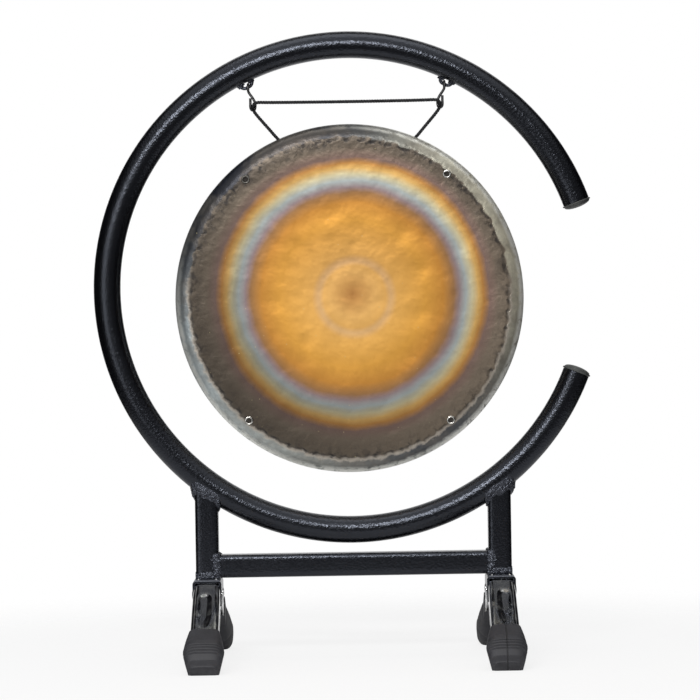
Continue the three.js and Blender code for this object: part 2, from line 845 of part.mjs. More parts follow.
// The rivets' two heads bear on the gong's sloping wall, each at its nearer edge
const studFace = gongDepth(studReach - studHead / 2, 0) - seatGap;
const studBack = gongDepth(studReach + studHead / 2, gongWall) + seatGap;

function studGeometry() {
  const points = [
    new THREE.Vector2(studBore / 2, studFace - studHeadHeight),
    new THREE.Vector2(studHead / 2 - studHeadHeight / 2, studFace - studHeadHeight),
    new THREE.Vector2(studHead / 2, studFace - studHeadHeight / 2),
    new THREE.Vector2(studHead / 2, studFace),
    new THREE.Vector2(studShank / 2, studFace),
    new THREE.Vector2(studShank / 2, studBack),
    new THREE.Vector2(studHead / 2, studBack),
    new THREE.Vector2(studHead / 2, studBack + studTail),
    new THREE.Vector2(studBore / 2, studBack + studTail),
    new THREE.Vector2(studBore / 2, studFace - studHeadHeight),
  ];
  return new THREE.LatheGeometry(points, studSides);
}

function studCoreGeometry() {
  const front = studFace - studHeadHeight + studCoreRecess;
  const length = studBack + studTail - front;
  const radius = studBore / 2 - seatGap;
  return new THREE.CylinderGeometry(radius, radius, length, studSides).translate(0, front + length / 2, 0);
}

for (const [word, angle] of Object.entries(studAngles)) {
  const turn = THREE.MathUtils.degToRad(angle);
  const height = studReach * Math.cos(turn) - gongDrop;
  const place = new THREE.Vector3(studReach * Math.sin(turn), gong.position.y, height);
  addPiece(hung, `${word}_gong_rivet`, studGeometry(), nickel).position.copy(place);
  addPiece(hung, `${word}_gong_rivet_core`, studCoreGeometry(), darkPlastic).position.copy(place);
}

function cordRoute() {
  const left = cordHalfRoute.map((point) => new THREE.Vector3(...point));
  const right = cordHalfRoute.slice(0, -1).map(([x, y, z]) => new THREE.Vector3(-x, y, z));
  return [...left, ...right.reverse()];
}

addPiece(hung, 'gong_cord', wire(cordRoute(), cordDiameter, cordSteps), cordFabric);

// The knots sit against the inside of the gong's rim, at its cord holes
const rimStart = gongCrown + gongShoulderDepth;
const rimTaperAtHole = THREE.MathUtils.mapLinear(gongHoleDepth, rimStart, gongRimDepth, 0, gongRimTaper);
const rimInside = gongRadius - gongWall - rimTaperAtHole;

for (const [word, side] of [['left', -1], ['right', 1]]) {
  const turn = THREE.MathUtils.degToRad(gongHoleAngle);
  const reach = rimInside - swingGap - (cordKnot * cordKnotSquash) / 2;
  const ball = new THREE.SphereGeometry(cordKnot / 2, knotSides, knotRings).scale(1, 1, cordKnotSquash);
  const knot = addPiece(hung, `${word}_cord_knot`, ball.rotateY(side * turn), cordFabric);
  knot.position.set(side * reach * Math.sin(turn), 0, reach * Math.cos(turn) - gongDrop);
}

// The origin is under the middle of the whole outline
const outline = new THREE.Box3().setFromObject(stand, true);
stand.position.x = -(outline.min.x + outline.max.x) / 2;

export default stand;
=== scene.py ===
import json
from math import asin, copysign, cos, exp, hypot, pi, radians, sin, sqrt, tan

import bmesh
import bpy
from mathutils import Matrix, Vector, noise


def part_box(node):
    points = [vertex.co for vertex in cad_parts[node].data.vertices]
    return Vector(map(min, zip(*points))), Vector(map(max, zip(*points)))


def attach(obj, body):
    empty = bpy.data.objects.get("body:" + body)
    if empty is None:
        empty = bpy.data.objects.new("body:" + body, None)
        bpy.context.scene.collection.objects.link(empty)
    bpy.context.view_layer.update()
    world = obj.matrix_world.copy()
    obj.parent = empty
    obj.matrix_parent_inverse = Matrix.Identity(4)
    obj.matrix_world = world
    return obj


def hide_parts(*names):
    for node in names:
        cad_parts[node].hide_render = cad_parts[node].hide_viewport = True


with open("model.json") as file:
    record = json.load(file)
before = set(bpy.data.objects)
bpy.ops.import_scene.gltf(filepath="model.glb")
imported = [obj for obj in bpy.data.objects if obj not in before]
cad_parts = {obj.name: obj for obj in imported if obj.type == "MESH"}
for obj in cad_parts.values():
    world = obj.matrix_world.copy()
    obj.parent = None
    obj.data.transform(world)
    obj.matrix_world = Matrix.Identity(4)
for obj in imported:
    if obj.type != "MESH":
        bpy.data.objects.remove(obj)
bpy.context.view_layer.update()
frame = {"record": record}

# Sizes of the real pieces, in metres
MM = 0.001
RING_RADIUS = 229 * MM
RING_TUBE = 25.4 * MM
RING_HEIGHT = 351.6 * MM
UPPER_MOUTH = radians(19.7)
LOWER_MOUTH = radians(-21.4)
SQUARE_TUBE = 22 * MM
TUBE_SQUARENESS = 5.2
UPRIGHT_SPACING = 276.6 * MM
BRACKET_TOP = 78 * MM
BRACKET_WIDTH = 27.2 * MM
BRACKET_LENGTH = 50 * MM
BRACKET_DEPTH = 24 * MM
BRACKET_SHEET = 2.5 * MM
BRACKET_CORNER = 3.4 * MM
EYE_ANGLE = radians(26)
EYE_WIRE = 3.2 * MM
EYE_SPAN = 10.8 * MM
EYE_DROP = 5 * MM
EYE_LOW = 0.5 * MM
EYE_LUMP = 3.3 * MM
HOOK_WIRE = 2.5 * MM
HOOK_LENGTH = 21.5 * MM
HOOK_INSET = 4.2 * MM
CROOK_TURN = radians(42)
GONG_RADIUS = 165 * MM
GONG_DROP = 179.2 * MM
GONG_LEAN = radians(2.37)
GONG_HOLE_DEPTH = 13 * MM
GONG_WALL = 1.4 * MM
GONG_CROWN = 1.6 * MM
GONG_SHOULDER = 16.5 * MM
GONG_SHOULDER_DEPTH = 11 * MM
GONG_RIM_DEPTH = 30 * MM
GONG_RIM_TAPER = 5 * MM
GONG_HOLE = 4.6 * MM
GONG_HOLE_ANGLE = radians(23)
BOSS = (4.9 * MM, 1.9 * MM)
BOSS_RADIUS = 34 * MM
STUD_REACH = GONG_RADIUS - 15.6 * MM
STUD_HEAD = 8.2 * MM
STUD_BORE = 4.4 * MM
STUD_SHANK = 5.6 * MM
STUD_ANGLES = {"upper_right": 38.8, "lower_right": 141, "lower_left": 220.5, "upper_left": 319.9}
CORD_THICKNESS = 3 * MM
KNOT_SIZE = 7.4 * MM
PIVOT_FORWARD = 13 * MM
PIVOT_HEIGHT = 63.8 * MM
HUB_RADIUS = 11.2 * MM
RIVET_HEAD = 9 * MM
RIVET_SHANK = 5 * MM
LEG_SHEET = 1.6 * MM
LEG_CORNER = 3 * MM
LEG_SLOPE = radians(28)
LEG_BEND = 24 * MM
LEG_FLAT = 2.8 * MM
LEG_DEPTH = 13 * MM
LEG_TUCK = 22 * MM
FOOT_MOUTH_HEIGHT = 36.3 * MM
FOOT_LENGTH = 41.5 * MM
FOOT_WIDTH = 37.4 * MM
FOOT_DEPTH = 34.8 * MM

# Places that follow from them, and from the frame
bar_low, bar_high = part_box("cross_bar")
MIDDLE_X = (bar_low.x + bar_high.x) / 2
UPRIGHT_X = UPRIGHT_SPACING / 2
BAR_HEIGHT = (bar_low.z + bar_high.z) / 2
EYE_REACH = RING_RADIUS - RING_TUBE / 2 - EYE_DROP
EYE_X = EYE_REACH * sin(EYE_ANGLE)
EYE_HEIGHT = RING_HEIGHT + EYE_REACH * cos(EYE_ANGLE)
CROOK_X = EYE_X - HOOK_INSET
CROOK_HEIGHT = EYE_HEIGHT - HOOK_LENGTH
SIDES = {"left": -1, "right": 1}

UP = Vector((0, 0, 1))
BACK = Vector((0, 1, 0))


def hung(x, y, z):
    """A point of the hung gong, given from the middle of the hooks' lower crooks, in the frame."""
    turned = Matrix.Rotation(GONG_LEAN, 3, "X") @ Vector((x, y, z))
    return turned + Vector((MIDDLE_X, 0, CROOK_HEIGHT))


# Shader maths


class Field:
    """A number that varies over a surface, for use in ordinary expressions."""

    def __init__(self, nodes, socket):
        self.nodes = nodes
        self.socket = socket

    def _math(self, operation, *values):
        return self.nodes.number("ShaderNodeMath", {"operation": operation}, *values)

    def __add__(self, other):
        return self._math("ADD", self, other)

    def __sub__(self, other):
        return self._math("SUBTRACT", self, other)

    def __rsub__(self, other):
        return self._math("SUBTRACT", other, self)

    def __mul__(self, other):
        return self._math("MULTIPLY", self, other)

    def __truediv__(self, other):
        return self._math("DIVIDE", self, other)

    __radd__ = __add__
    __rmul__ = __mul__

    def clipped(self):
        return self._math("MAXIMUM", self._math("MINIMUM", self, 1), 0)

    def rooted(self):
        return self._math("SQRT", self)

    def sine(self):
        return self._math("SINE", self)

    def hypot(self, other):
        return (self * self + other * other).rooted()

    def peak(self, middle, half):
        """1 at the middle, down to 0 at half a width from it and beyond."""
        away = (self - middle) / half
        return (1 - away * away).clipped()

    def from_to(self, low, high):
        """0 at low and below, 1 at high and above, eased between."""
        settings = {"interpolation_type": "SMOOTHSTEP"}
        node = self.nodes.add("ShaderNodeMapRange", settings, {0: self, 1: low, 2: high})
        return Field(self.nodes, node.outputs[0])


class Nodes:
    """The nodes of a material or of the world."""

    def __init__(self, tree):
        self.tree = tree

    def add(self, kind, settings=None, inputs=None):
        """A node of a kind with its settings, and the values or links of its sockets."""
        node = self.tree.nodes.new(kind)
        for name, value in (settings or {}).items():
            if name == "stops":
                fill_ramp(node.color_ramp, value)
            else:
                setattr(node, name, value)
        for socket, value in (inputs or {}).items():
            self.feed(node.inputs[socket], value)
        return node

    def feed(self, socket, value):
        source = value.socket if isinstance(value, Field) else value
        if isinstance(source, bpy.types.NodeSocket):
            self.tree.links.new(source, socket)
        else:
            socket.default_value = source

    def number(self, kind, settings, *values):
        node = self.add(kind, settings, dict(enumerate(values)))
        return Field(self, node.outputs[0])

    def place(self):
        """The point of the surface in the frame, in metres."""
        return self.add("ShaderNodeTexCoord").outputs["Object"]

    def split(self, vector):
        node = self.add("ShaderNodeSeparateXYZ", inputs={0: vector})
        return [Field(self, socket) for socket in node.outputs]

    def mapped(self, kind, **inputs):
        """The point of the surface, moved, turned or scaled."""
        inputs["Vector"] = self.place()
        return self.add("ShaderNodeMapping", {"vector_type": kind}, inputs).outputs[0]

    def noise(self, grain, detail=2, rough=0.5, vector=None, warp=0):
        """Cloudy noise with features of about that size in millimetres."""
        inputs = {"Vector": vector or self.place(), "Scale": 1 / (grain * MM)}
        inputs.update({"Detail": detail, "Roughness": rough, "Distortion": warp})
        return Field(self, self.add("ShaderNodeTexNoise", inputs=inputs).outputs["Fac"])

    def cells(self, size):
        """Distance from the nearest cell's middle, for cells of a size in millimetres."""
        inputs = {"Vector": self.place(), "Scale": 1 / (size * MM)}
        return Field(self, self.add("ShaderNodeTexVoronoi", inputs=inputs).outputs["Distance"])

    def ramp(self, value, stops):
        """Colours by a number: stops are (number, red, green, blue), as paint takes them."""
        return self.add("ShaderNodeValToRGB", {"stops": stops}, {0: value}).outputs[0]

    def mix(self, share, first, second):
        """A colour between two, by a share from 0 to 1."""
        inputs = {0: share, 6: first, 7: second}
        return self.add("ShaderNodeMix", {"data_type": "RGBA"}, inputs).outputs[2]

    def blend(self, share, first, second):
        """A shader between two, by a share from 0 to 1."""
        inputs = {0: share, 1: first, 2: second}
        return self.add("ShaderNodeMixShader", inputs=inputs).outputs[0]

    def bump(self, height, distance, strength=1.0, under=None):
        """Relief over the relief under it: height times a distance in millimetres."""
        inputs = {"Height": height, "Distance": distance * MM, "Strength": strength}
        if under is not None:
            inputs["Normal"] = under
        return self.add("ShaderNodeBump", inputs=inputs).outputs[0]


class Finish(Nodes):
    """A material made of nodes, with its fixed values on the shader's own sockets."""

    def __init__(self, name, **fixed):
        self.material = bpy.data.materials.new(name)
        self.material.use_nodes = True
        super().__init__(self.material.node_tree)
        self.shader = self.tree.nodes["Principled BSDF"]
        for socket, value in fixed.items():
            self.shader.inputs[socket.replace("_", " ")].default_value = value

    def set(self, **sockets):
        for socket, value in sockets.items():
            self.feed(self.shader.inputs[socket.replace("_", " ")], value)
        return self.material


def fill_ramp(ramp, stops):
    elements = ramp.elements
    while len(elements) < len(stops):
        elements.new(1)
    for element, (position, *colour) in zip(elements, stops):
        element.position = position
        element.color = paint(*colour)


def paint(red, green, blue):
    """The linear colour of a colour as it shows on a screen, from 0 to 255."""
    shares = (red / 255, green / 255, blue / 255)
    return (*(c / 12.92 if c <= 0.04045 else ((c + 0.055) / 1.055) ** 2.4 for c in shares), 1)


# Finishes: colours are given as they show on a screen, from 0 to 255

# Painted light: the coats' reflections are tinted blue, standing in for bluish lamplight
BLUE_LAMPLIGHT_TINT = (0.86, 0.93, 1.1, 1)
# Heat colours of the bronze, by the share of its radius from the middle of the rings
HEAT_MIDDLE = (2.8 * MM, 4.6 * MM)
HEAT_COLOURS = (
    (0.0, 192, 134, 72),
    (0.13, 240, 186, 107),
    (0.3, 242, 182, 91),
    (0.42, 231, 168, 72),
    (0.52, 205, 142, 61),
    (0.58, 160, 118, 76),
    (0.612, 150, 131, 131),
    (0.65, 172, 180, 178),
    (0.688, 212, 200, 160),
    (0.722, 222, 178, 104),
    (0.75, 193, 138, 72),
    (0.785, 135, 110, 100),
    (0.84, 134, 120, 104),
    (0.92, 132, 119, 103),
    (1.0, 140, 138, 131),
)


def hammered_coat():
    """Black powder coat: fine pebbles, each with its own tilt, a thin gloss over them, and a
    painted highlight along the brackets' top edge.
    """
    f = Finish("black hammered coat", Specular_IOR_Level=0.5, Specular_Tint=BLUE_LAMPLIGHT_TINT)
    pebbles = f.cells(2.1)
    grit = f.noise(1.1, detail=2)
    clouds = f.noise(38, detail=3)
    colour = f.ramp(pebbles, [(0.1, 9, 9, 12), (0.6, 4, 4, 5)])
    dusty = f.mix(clouds.from_to(0.5, 0.8) * 0.3, colour, paint(14, 15, 18))
    # The pale line along the brackets' top edge is a painted highlight, where light catches the
    # edge, not wear; it also makes that edge rougher
    rubbed = f.split(f.place())[2].peak(BRACKET_TOP, 0.8 * MM) * (0.5 + clouds * 0.6)
    worn = f.mix(rubbed, dusty, paint(104, 107, 114))
    gloss = 0.15 + clouds * 0.08 + grit * 0.1 + rubbed * 0.4
    soft = f.bump(f.noise(5.5, detail=2), 0.3, 0.3)
    relief = f.bump(pebbles * 0.7 + grit * 0.6, 0.3, 0.7, soft)
    return f.set(Base_Color=worn, Roughness=gloss, Normal=relief)


def weld_coat():
    """The same coat over the welds, thicker and glossier where it has run."""
    f = Finish("coat over the welds", Specular_IOR_Level=0.8, Specular_Tint=BLUE_LAMPLIGHT_TINT)
    runs = f.noise(2.6, detail=2, rough=0.55)
    grit = f.noise(0.9, detail=1)
    colour = f.ramp(runs, [(0.3, 8, 8, 10), (0.7, 34, 35, 41)])
    relief = f.bump(runs + grit * 0.3, 1.9, 0.9)
    return f.set(Base_Color=colour, Roughness=0.14 + runs * 0.2, Normal=relief)


def plug_plastic():
    """Moulded plastic, scuffed paler on the dome."""
    f = Finish("dark grey plug plastic", Specular_IOR_Level=0.45)
    grain = f.noise(0.7, detail=3)
    scuffs = f.noise(4, detail=4, rough=0.7)
    colour = f.ramp(scuffs, [(0.3, 42, 43, 43), (0.75, 80, 82, 80)])
    relief = f.bump(grain, 0.08, 0.5)
    return f.set(Base_Color=colour, Roughness=0.42 + scuffs * 0.2, Normal=relief)


def leg_chrome():
    """Bright chrome over pressed steel: slow waves, faint scratches and duller places."""
    f = Finish("chromed leg", Metallic=1.0)
    waves = f.noise(16, detail=0)
    scratches = f.noise(0.4, detail=2, vector=f.mapped("POINT", Scale=(1, 0.12, 0.12)))
    film = f.noise(11, detail=2, rough=0.5)
    colour = f.ramp(film, [(0.3, 176, 177, 182), (0.7, 212, 212, 208)])
    gloss = 0.07 + film.from_to(0.45, 0.8) * 0.14 + scratches * 0.04
    relief = f.bump(waves, 0.6, 0.25, f.bump(scratches, 0.012, 0.2))
    return f.set(Base_Color=colour, Roughness=gloss, Normal=relief)


def foot_rubber():
    """Charcoal rubber: matt, with a fine grain, rubbed patches and a seam down the right feet."""
    f = Finish("charcoal rubber", Specular_IOR_Level=0.5)
    grain = f.noise(0.45, detail=2)
    rubbed = f.noise(9, detail=4, rough=0.6)
    x, _, height = f.split(f.place())
    seam = x.peak(MIDDLE_X + UPRIGHT_X, 0.75 * MM)
    dust = (1 - (height / (9 * MM)).clipped()) * rubbed.from_to(0.35, 0.7)
    colour = f.ramp(rubbed, [(0.3, 31, 31, 35), (0.75, 45, 45, 50)])
    dusty = f.mix(dust * 0.4, colour, paint(74, 74, 74))
    parted = f.mix(seam * 0.8, dusty, paint(12, 12, 14))
    soft = f.bump(grain, 0.06, 0.6, f.bump(rubbed, 0.4, 0.25))
    relief = f.bump(seam * -1, 0.5, 0.8, soft)
    return f.set(Base_Color=parted, Roughness=0.5 + rubbed * 0.18, Normal=relief)


def hook_steel():
    """Black coated wire, worn to bare steel in fine spots."""
    f = Finish("black hook wire", Specular_IOR_Level=0.6)
    worn = f.noise(1.8, detail=4, rough=0.7).from_to(0.62, 0.72)
    grain = f.noise(0.5, detail=2)
    colour = f.mix(worn, paint(21, 21, 23), paint(120, 118, 114))
    relief = f.bump(grain, 0.07, 0.5)
    return f.set(Base_Color=colour, Metallic=worn * 0.8, Roughness=0.3 + grain * 0.2, Normal=relief)


def rivet_nickel():
    """Bright nickel, with the upper left rivet of the gong darkened by painted shade and made
    duller.
    """
    f = Finish("bright nickel", Metallic=1.0)
    film = f.noise(1.6, detail=4)
    x, _, z = f.split(f.place())
    # Painted shade: this darkens the upper left rivet, which catches less light, and makes it
    # rougher
    darker_share = (1 - x.from_to(-0.09, -0.07)) * z.from_to(0.3, 0.32)
    bright = f.ramp(film, [(0.3, 196, 194, 188), (0.7, 232, 230, 224)])
    colour = f.mix(darker_share * 0.85, bright, paint(62, 58, 52))
    relief = f.bump(film, 0.06, 0.4)
    return f.set(Base_Color=colour, Roughness=0.14 + film * 0.14 + darker_share * 0.25, Normal=relief)


def rivet_core():
    """Dirt and shade in the bore of a hollow rivet."""
    f = Finish("dark rivet bore", Specular_IOR_Level=0.3)
    dirt = f.noise(0.8, detail=3)
    colour = f.ramp(dirt, [(0.3, 24, 22, 20), (0.8, 60, 55, 48)])
    return f.set(Base_Color=colour, Roughness=0.6 + dirt * 0.2, Normal=f.bump(dirt, 0.1, 0.5))


def cord_fibre():
    """Black synthetic fibre: fine filaments and a little fuzz."""
    f = Finish("black cord fibre", Specular_IOR_Level=0.4)
    filaments = f.noise(0.22, detail=2)
    faded = f.noise(6, detail=3)
    colour = f.ramp(faded, [(0.3, 19, 19, 20), (0.8, 38, 38, 41)])
    relief = f.bump(filaments, 0.1, 0.7)
    return f.set(Base_Color=colour, Roughness=0.62 + filaments * 0.2, Normal=relief)


def gong_bronze():
    """Bronze with heat colours in rings, a darker border, hammer marks along the edge, and painted
    shade, highlights and reflections.
    """
    f = Finish("heat-coloured bronze", Metallic=0.66, Specular_IOR_Level=0.5)
    middle = hung(0, 0, -GONG_DROP)
    x, _, z = f.split(f.mapped("TEXTURE", Location=middle, Rotation=(GONG_LEAN, 0, 0)))
    clouds = f.noise(30, detail=3, rough=0.6)
    streaks = f.noise(9, detail=4, rough=0.65, warp=0.4)
    specks = f.cells(7.5)
    reach = x.hypot(z) / GONG_RADIUS
    ring_reach = (x - HEAT_MIDDLE[0]).hypot(z - HEAT_MIDDLE[1]) / GONG_RADIUS
    ring_reach = ring_reach + (clouds - 0.5) * 0.035
    heat = f.ramp(ring_reach, HEAT_COLOURS)

    # The boss's pale outline, and painted shade that makes the face above it browner and darker
    boss_reach = (x - BOSS[0]).hypot(z - BOSS[1]) / BOSS_RADIUS
    outline = boss_reach.from_to(0.84, 1.0) * (1 - boss_reach.from_to(1.0, 1.22))
    heat = f.mix(outline * 0.42, heat, paint(218, 184, 150))
    face = (1 - reach.from_to(0.36, 0.52)) * reach.from_to(0.03, 0.15)
    # Painted shade: the upper part of the face is browner and darker
    upper_face_shade = face * (z / GONG_RADIUS * 3 + 0.2).clipped() * 0.26
    heat = f.mix(upper_face_shade, heat, paint(126, 74, 30))

    # The border: painted shade darkens it at the lower left; tarnish creeps in from the edge, made
    # darker towards the top by painted shade
    # Painted shade: the border darkens towards the lower left, away from the light at the upper
    # right
    facing = (x * 0.766 + z * 0.643) / (reach * GONG_RADIUS)
    low = (facing * -0.14).clipped() * reach.from_to(0.76, 0.86)
    border = ring_reach.from_to(0.6, 0.68) * (1 - reach.from_to(0.9, 0.95))
    heat = f.mix((low + (0.25 - facing * 0.3).clipped()) * border, heat, paint(24, 20, 18))
    around = f.number("ShaderNodeMath", {"operation": "ARCTAN2"}, x, z)
    beat = (around * 67 + streaks * 7 + clouds * 9).sine()
    knots = (around * 113 + streaks * 5).sine()
    scallop = reach + beat * 0.003 + (streaks - 0.5) * 0.045 + (clouds - 0.5) * 0.02
    darker_share = reach.from_to(0.82, 0.9) * (1 - scallop.from_to(0.925, 0.94))
    # Tarnish in streaks, and painted shade that makes the band darker towards the top
    upward = (z / (reach * GONG_RADIUS)).from_to(-0.3, 0.9)
    patches = streaks.from_to(0.46, 0.66) * 0.45 + upward * 0.48
    heat = f.mix(darker_share * patches, heat, paint(40, 37, 36))

    # The rim: painted reflections, warm grey at the right and cool at the left, dark grey at two
    # opposite places round it, and burnt blue at the upper left
    edge = scallop.from_to(0.918, 0.936)
    # Painted reflections: bluish light at the left, cream at the right, and dark grey by turns
    # round the rim
    painted_bluish_share = (x / GONG_RADIUS * -0.5 + 0.5).clipped()
    painted_lit_share = (around * 2 - 0.52).sine() * 0.5 + 0.5
    pale = f.mix(painted_bluish_share, paint(250, 242, 214), paint(196, 208, 212))
    burnt = ((z * 0.8 - x * 0.6) / (reach * GONG_RADIUS)).from_to(0.35, 0.95)
    rim = f.mix(burnt * 0.96, f.mix(painted_lit_share, paint(74, 78, 84), pale), paint(15, 23, 39))
    heat = f.mix(edge * (0.55 + clouds.from_to(0.4, 0.6) * 0.4), heat, rim)

    # Its ledge with a painted highlight on its lower half, a darker band, a painted highlight on
    # the rolled edge, and the chain of hammer marks inside it
    # Painted highlight: a pale line on the ledge, fading out towards the top
    painted_ledge_highlight = scallop.peak(0.924, 0.014) * (1 - upward.from_to(0.0, 0.45))
    heat = f.mix(painted_ledge_highlight * 0.5, heat, paint(214, 204, 190))
    rolled = (reach + (streaks - 0.5) * 0.02).from_to(0.962, 0.985)
    darker_band = edge * (1 - rolled) * (0.3 + streaks.from_to(0.35, 0.6) * 0.25) * (burnt * 0.5 + 0.7)
    heat = f.mix(darker_band.clipped(), heat, paint(44, 44, 46))
    # Painted highlight: a near-white line on the rolled edge, left out at the upper left
    bright = rolled * (1 - burnt) * streaks.from_to(0.3, 0.5) * 0.75
    heat = f.mix(bright, heat, paint(250, 250, 242))
    chain = scallop.peak(0.912, 0.014)
    marks = chain * (0.5 + knots * 0.2 + beat * 0.3).clipped() * clouds.from_to(0.34, 0.5)
    heat = f.mix(marks * 0.85, heat, paint(34, 33, 34))
    spots = (1 - specks.from_to(0.05, 0.09)) * streaks.from_to(0.5, 0.6) * 0.5
    heat = f.mix(spots, heat, paint(214, 200, 150))

    gloss = 0.36 + streaks * 0.12 - edge * 0.06
    grain = f.noise(1.1, detail=3)
    relief = f.bump(clouds, 2.2, 0.35, f.bump(grain, 0.05, 0.4))
    relief = f.bump(marks * -0.5 + edge * streaks * 0.4, 0.5, 0.6, relief)
    worked = reach.from_to(0.78, 0.84) * 0.8 + 0.12
    relief = f.bump(f.noise(6.5, detail=2, warp=0.3) * worked, 0.9, 0.5, relief)
    return f.set(Base_Color=heat, Roughness=gloss, Normal=relief)


FINISHES = {
    "hammered_coat": hammered_coat(),
    "plug_plastic": plug_plastic(),
    "leg_chrome": leg_chrome(),
    "foot_rubber": foot_rubber(),
    "hook_steel": hook_steel(),
    "gong_bronze": gong_bronze(),
    "rivet_nickel": rivet_nickel(),
    "rivet_core": rivet_core(),
    "cord_black": cord_fibre(),
}
WELD_COAT = weld_coat()

# Mesh making

BODY_OF = {
    node: body for body, nodes in frame["record"]["behaviour"]["bodies"].items() for node in nodes
}


def add_object(name, bm):
    mesh = bpy.data.meshes.new(name)
    bm.to_mesh(mesh)
    bm.free()
    thing = bpy.data.objects.new(name, mesh)
    bpy.context.scene.collection.objects.link(thing)
    return thing


def add_piece(name, bm, slot, *nodes, finish=None, sharp=35, outward=True):
    """A piece of the object, which stands for its CAD nodes and rides with them."""
    if outward:
        bmesh.ops.recalc_face_normals(bm, faces=bm.faces)
    piece = add_object(name, bm)
    piece.data.materials.append(finish or FINISHES[slot])
    piece.data.shade_smooth()
    piece.data.set_sharp_from_angle(angle=radians(sharp))
    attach(piece, BODY_OF[nodes[0]])
    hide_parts(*nodes)
    return piece


def soften_edges(piece, name, width, segments, angle):
    """Rounds the edges that are sharper than an angle in degrees."""
    edges = piece.modifiers.new(name, "BEVEL")
    edges.width = width
    edges.segments = segments
    edges.angle_limit = radians(angle)


def smooth_step(low, high, value):
    share = min(max((value - low) / (high - low), 0), 1)
    return share * share * (3 - 2 * share)


def full_turn(count):
    """Even angles all the way round."""
    return [2 * pi * i / count for i in range(count)]


def ripple(point, size, shift=0):
    """Smooth noise from -1 to 1 with features of about a size in millimetres."""
    return noise.noise(point / (size * MM) + UP * shift)


def curve_point(before, start, end, after, t):
    """A point from start to end on the centripetal curve through four points."""
    pairs = ((before, start), (start, end), (end, after))
    first, middle, last = [max((b - a).length, 1e-9) ** 0.5 for a, b in pairs]
    leave = (start - before) / first - (end - before) / (first + middle) + (end - start) / middle
    reach = (end - start) / middle - (after - start) / (middle + last) + (after - end) / last
    bend = (2 * t**3 - 3 * t**2 + 1) * start + (3 * t**2 - 2 * t**3) * end
    return bend + ((t**3 - 2 * t**2 + t) * leave + (t**3 - t**2) * reach) * middle


def evenly(points, count, closed=False):
    """Points at even distances along a line."""
    line = [*points, points[0]] if closed else list(points)
    lengths = [0.0]
    for a, b in zip(line, line[1:]):
        lengths.append(lengths[-1] + (b - a).length)
    spaced = []
    span = 0
    for i in range(count):
        target = lengths[-1] * i / (count if closed else count - 1)
        while span < len(line) - 2 and lengths[span + 1] < target:
            span += 1
        share = (target - lengths[span]) / max(lengths[span + 1] - lengths[span], 1e-12)
        spaced.append(line[span].lerp(line[span + 1], min(share, 1)))
    return spaced


def smooth_route(points, step):
    """Evenly spaced points along a smooth curve through the given ones."""
    ends = [points[0] * 2 - points[1], *points, points[-1] * 2 - points[-2]]
    fine = []
    for four in zip(ends, ends[1:], ends[2:], ends[3:]):
        fine += [curve_point(*four, i / 16) for i in range(16)]
    fine.append(points[-1])
    length = sum((b - a).length for a, b in zip(fine, fine[1:]))
    return evenly(fine, max(3, round(length / step)))


def along(route, closed=False):
    """Each point of a route with two directions square to it, kept from twisting."""
    count = len(route)
    side = None
    for i, point in enumerate(route):
        ahead = route[(i + 1) % count] if closed else route[min(i + 1, count - 1)]
        behind = route[i - 1] if closed or i else route[0]
        forward = (ahead - behind).normalized()
        side = forward.orthogonal() if side is None else side - forward * side.dot(forward)
        side = side.normalized()
        yield point, side, forward.cross(side)


def loft(bm, rings, closed=False):
    """Skins a row of like rings, with a face over each end unless the row is closed."""
    rows = [[bm.verts.new(point) for point in ring] for ring in rings]
    pairs = list(zip(rows, rows[1:]))
    if closed:
        pairs.append((rows[-1], rows[0]))
    for near, far in pairs:
        for j, vert in enumerate(near):
            k = (j + 1) % len(near)
            bm.faces.new((vert, near[k], far[k], far[j]))
    if not closed:
        bm.faces.new(rows[0])
        bm.faces.new(rows[-1])


def tube(bm, route, radius, sides, closed=False, lumps=0, grain=4 * MM):
    """A round bar along a route, with lumps as a share of its radius."""
    rings = []
    for point, side, other in along(route, closed):
        ring = []
        for turn in full_turn(sides):
            spoke = side * cos(turn) + other * sin(turn)
            swell = 1 + lumps * noise.noise((point + spoke * radius) / grain)
            ring.append(point + spoke * radius * swell)
        rings.append(ring)
    loft(bm, rings, closed)


def lathe(bm, profile, steps, place, closed=False):
    """Turns (radius, height) points round the Z axis of place."""
    rings = []
    for radius, height in profile:
        flat = ((radius * cos(turn), radius * sin(turn)) for turn in full_turn(steps))
        rings.append([place @ Vector((x, y, height)) for x, y in flat])
    loft(bm, rings, closed)


def squircle(turn, power):
    """A point of a square with soft corners, 2 for a circle and more for a squarer one."""
    parts = (cos(turn), sin(turn))
    return [copysign(abs(part) ** (2 / power), part) for part in parts]


def rounded_square(size, steps=64):
    """The outline of a square tube, with crowned faces and soft corners."""
    outline = []
    for i in range(steps):
        u, v = squircle(2 * pi * (i + 0.5) / steps, TUBE_SQUARENESS)
        outline.append((u * size / 2, v * size / 2))
    return outline


# Camera

CAMERA_DISTANCE = 3.05
CAMERA_HEIGHT = 0.33
CAMERA_X = 0.006
CAMERA_PITCH = radians(0.709)
CAMERA_ROLL = radians(0.93)
CAMERA_LENS = 165.9
SENSOR_WIDTH = 36

lens = bpy.data.cameras.new("camera")
lens.lens = CAMERA_LENS
lens.sensor_width = SENSOR_WIDTH
lens.clip_end = 50
camera = bpy.data.objects.new("camera", lens)
bpy.context.scene.collection.objects.link(camera)
level = Matrix.Rotation(pi / 2 - CAMERA_PITCH, 4, "X") @ Matrix.Rotation(-CAMERA_ROLL, 4, "Z")
camera.matrix_world = Matrix.Translation((CAMERA_X, -CAMERA_DISTANCE, CAMERA_HEIGHT)) @ level
bpy.context.scene.camera = camera

# Gong cord: the left half of its route, in millimetres from the middle of the hooks' lower crooks

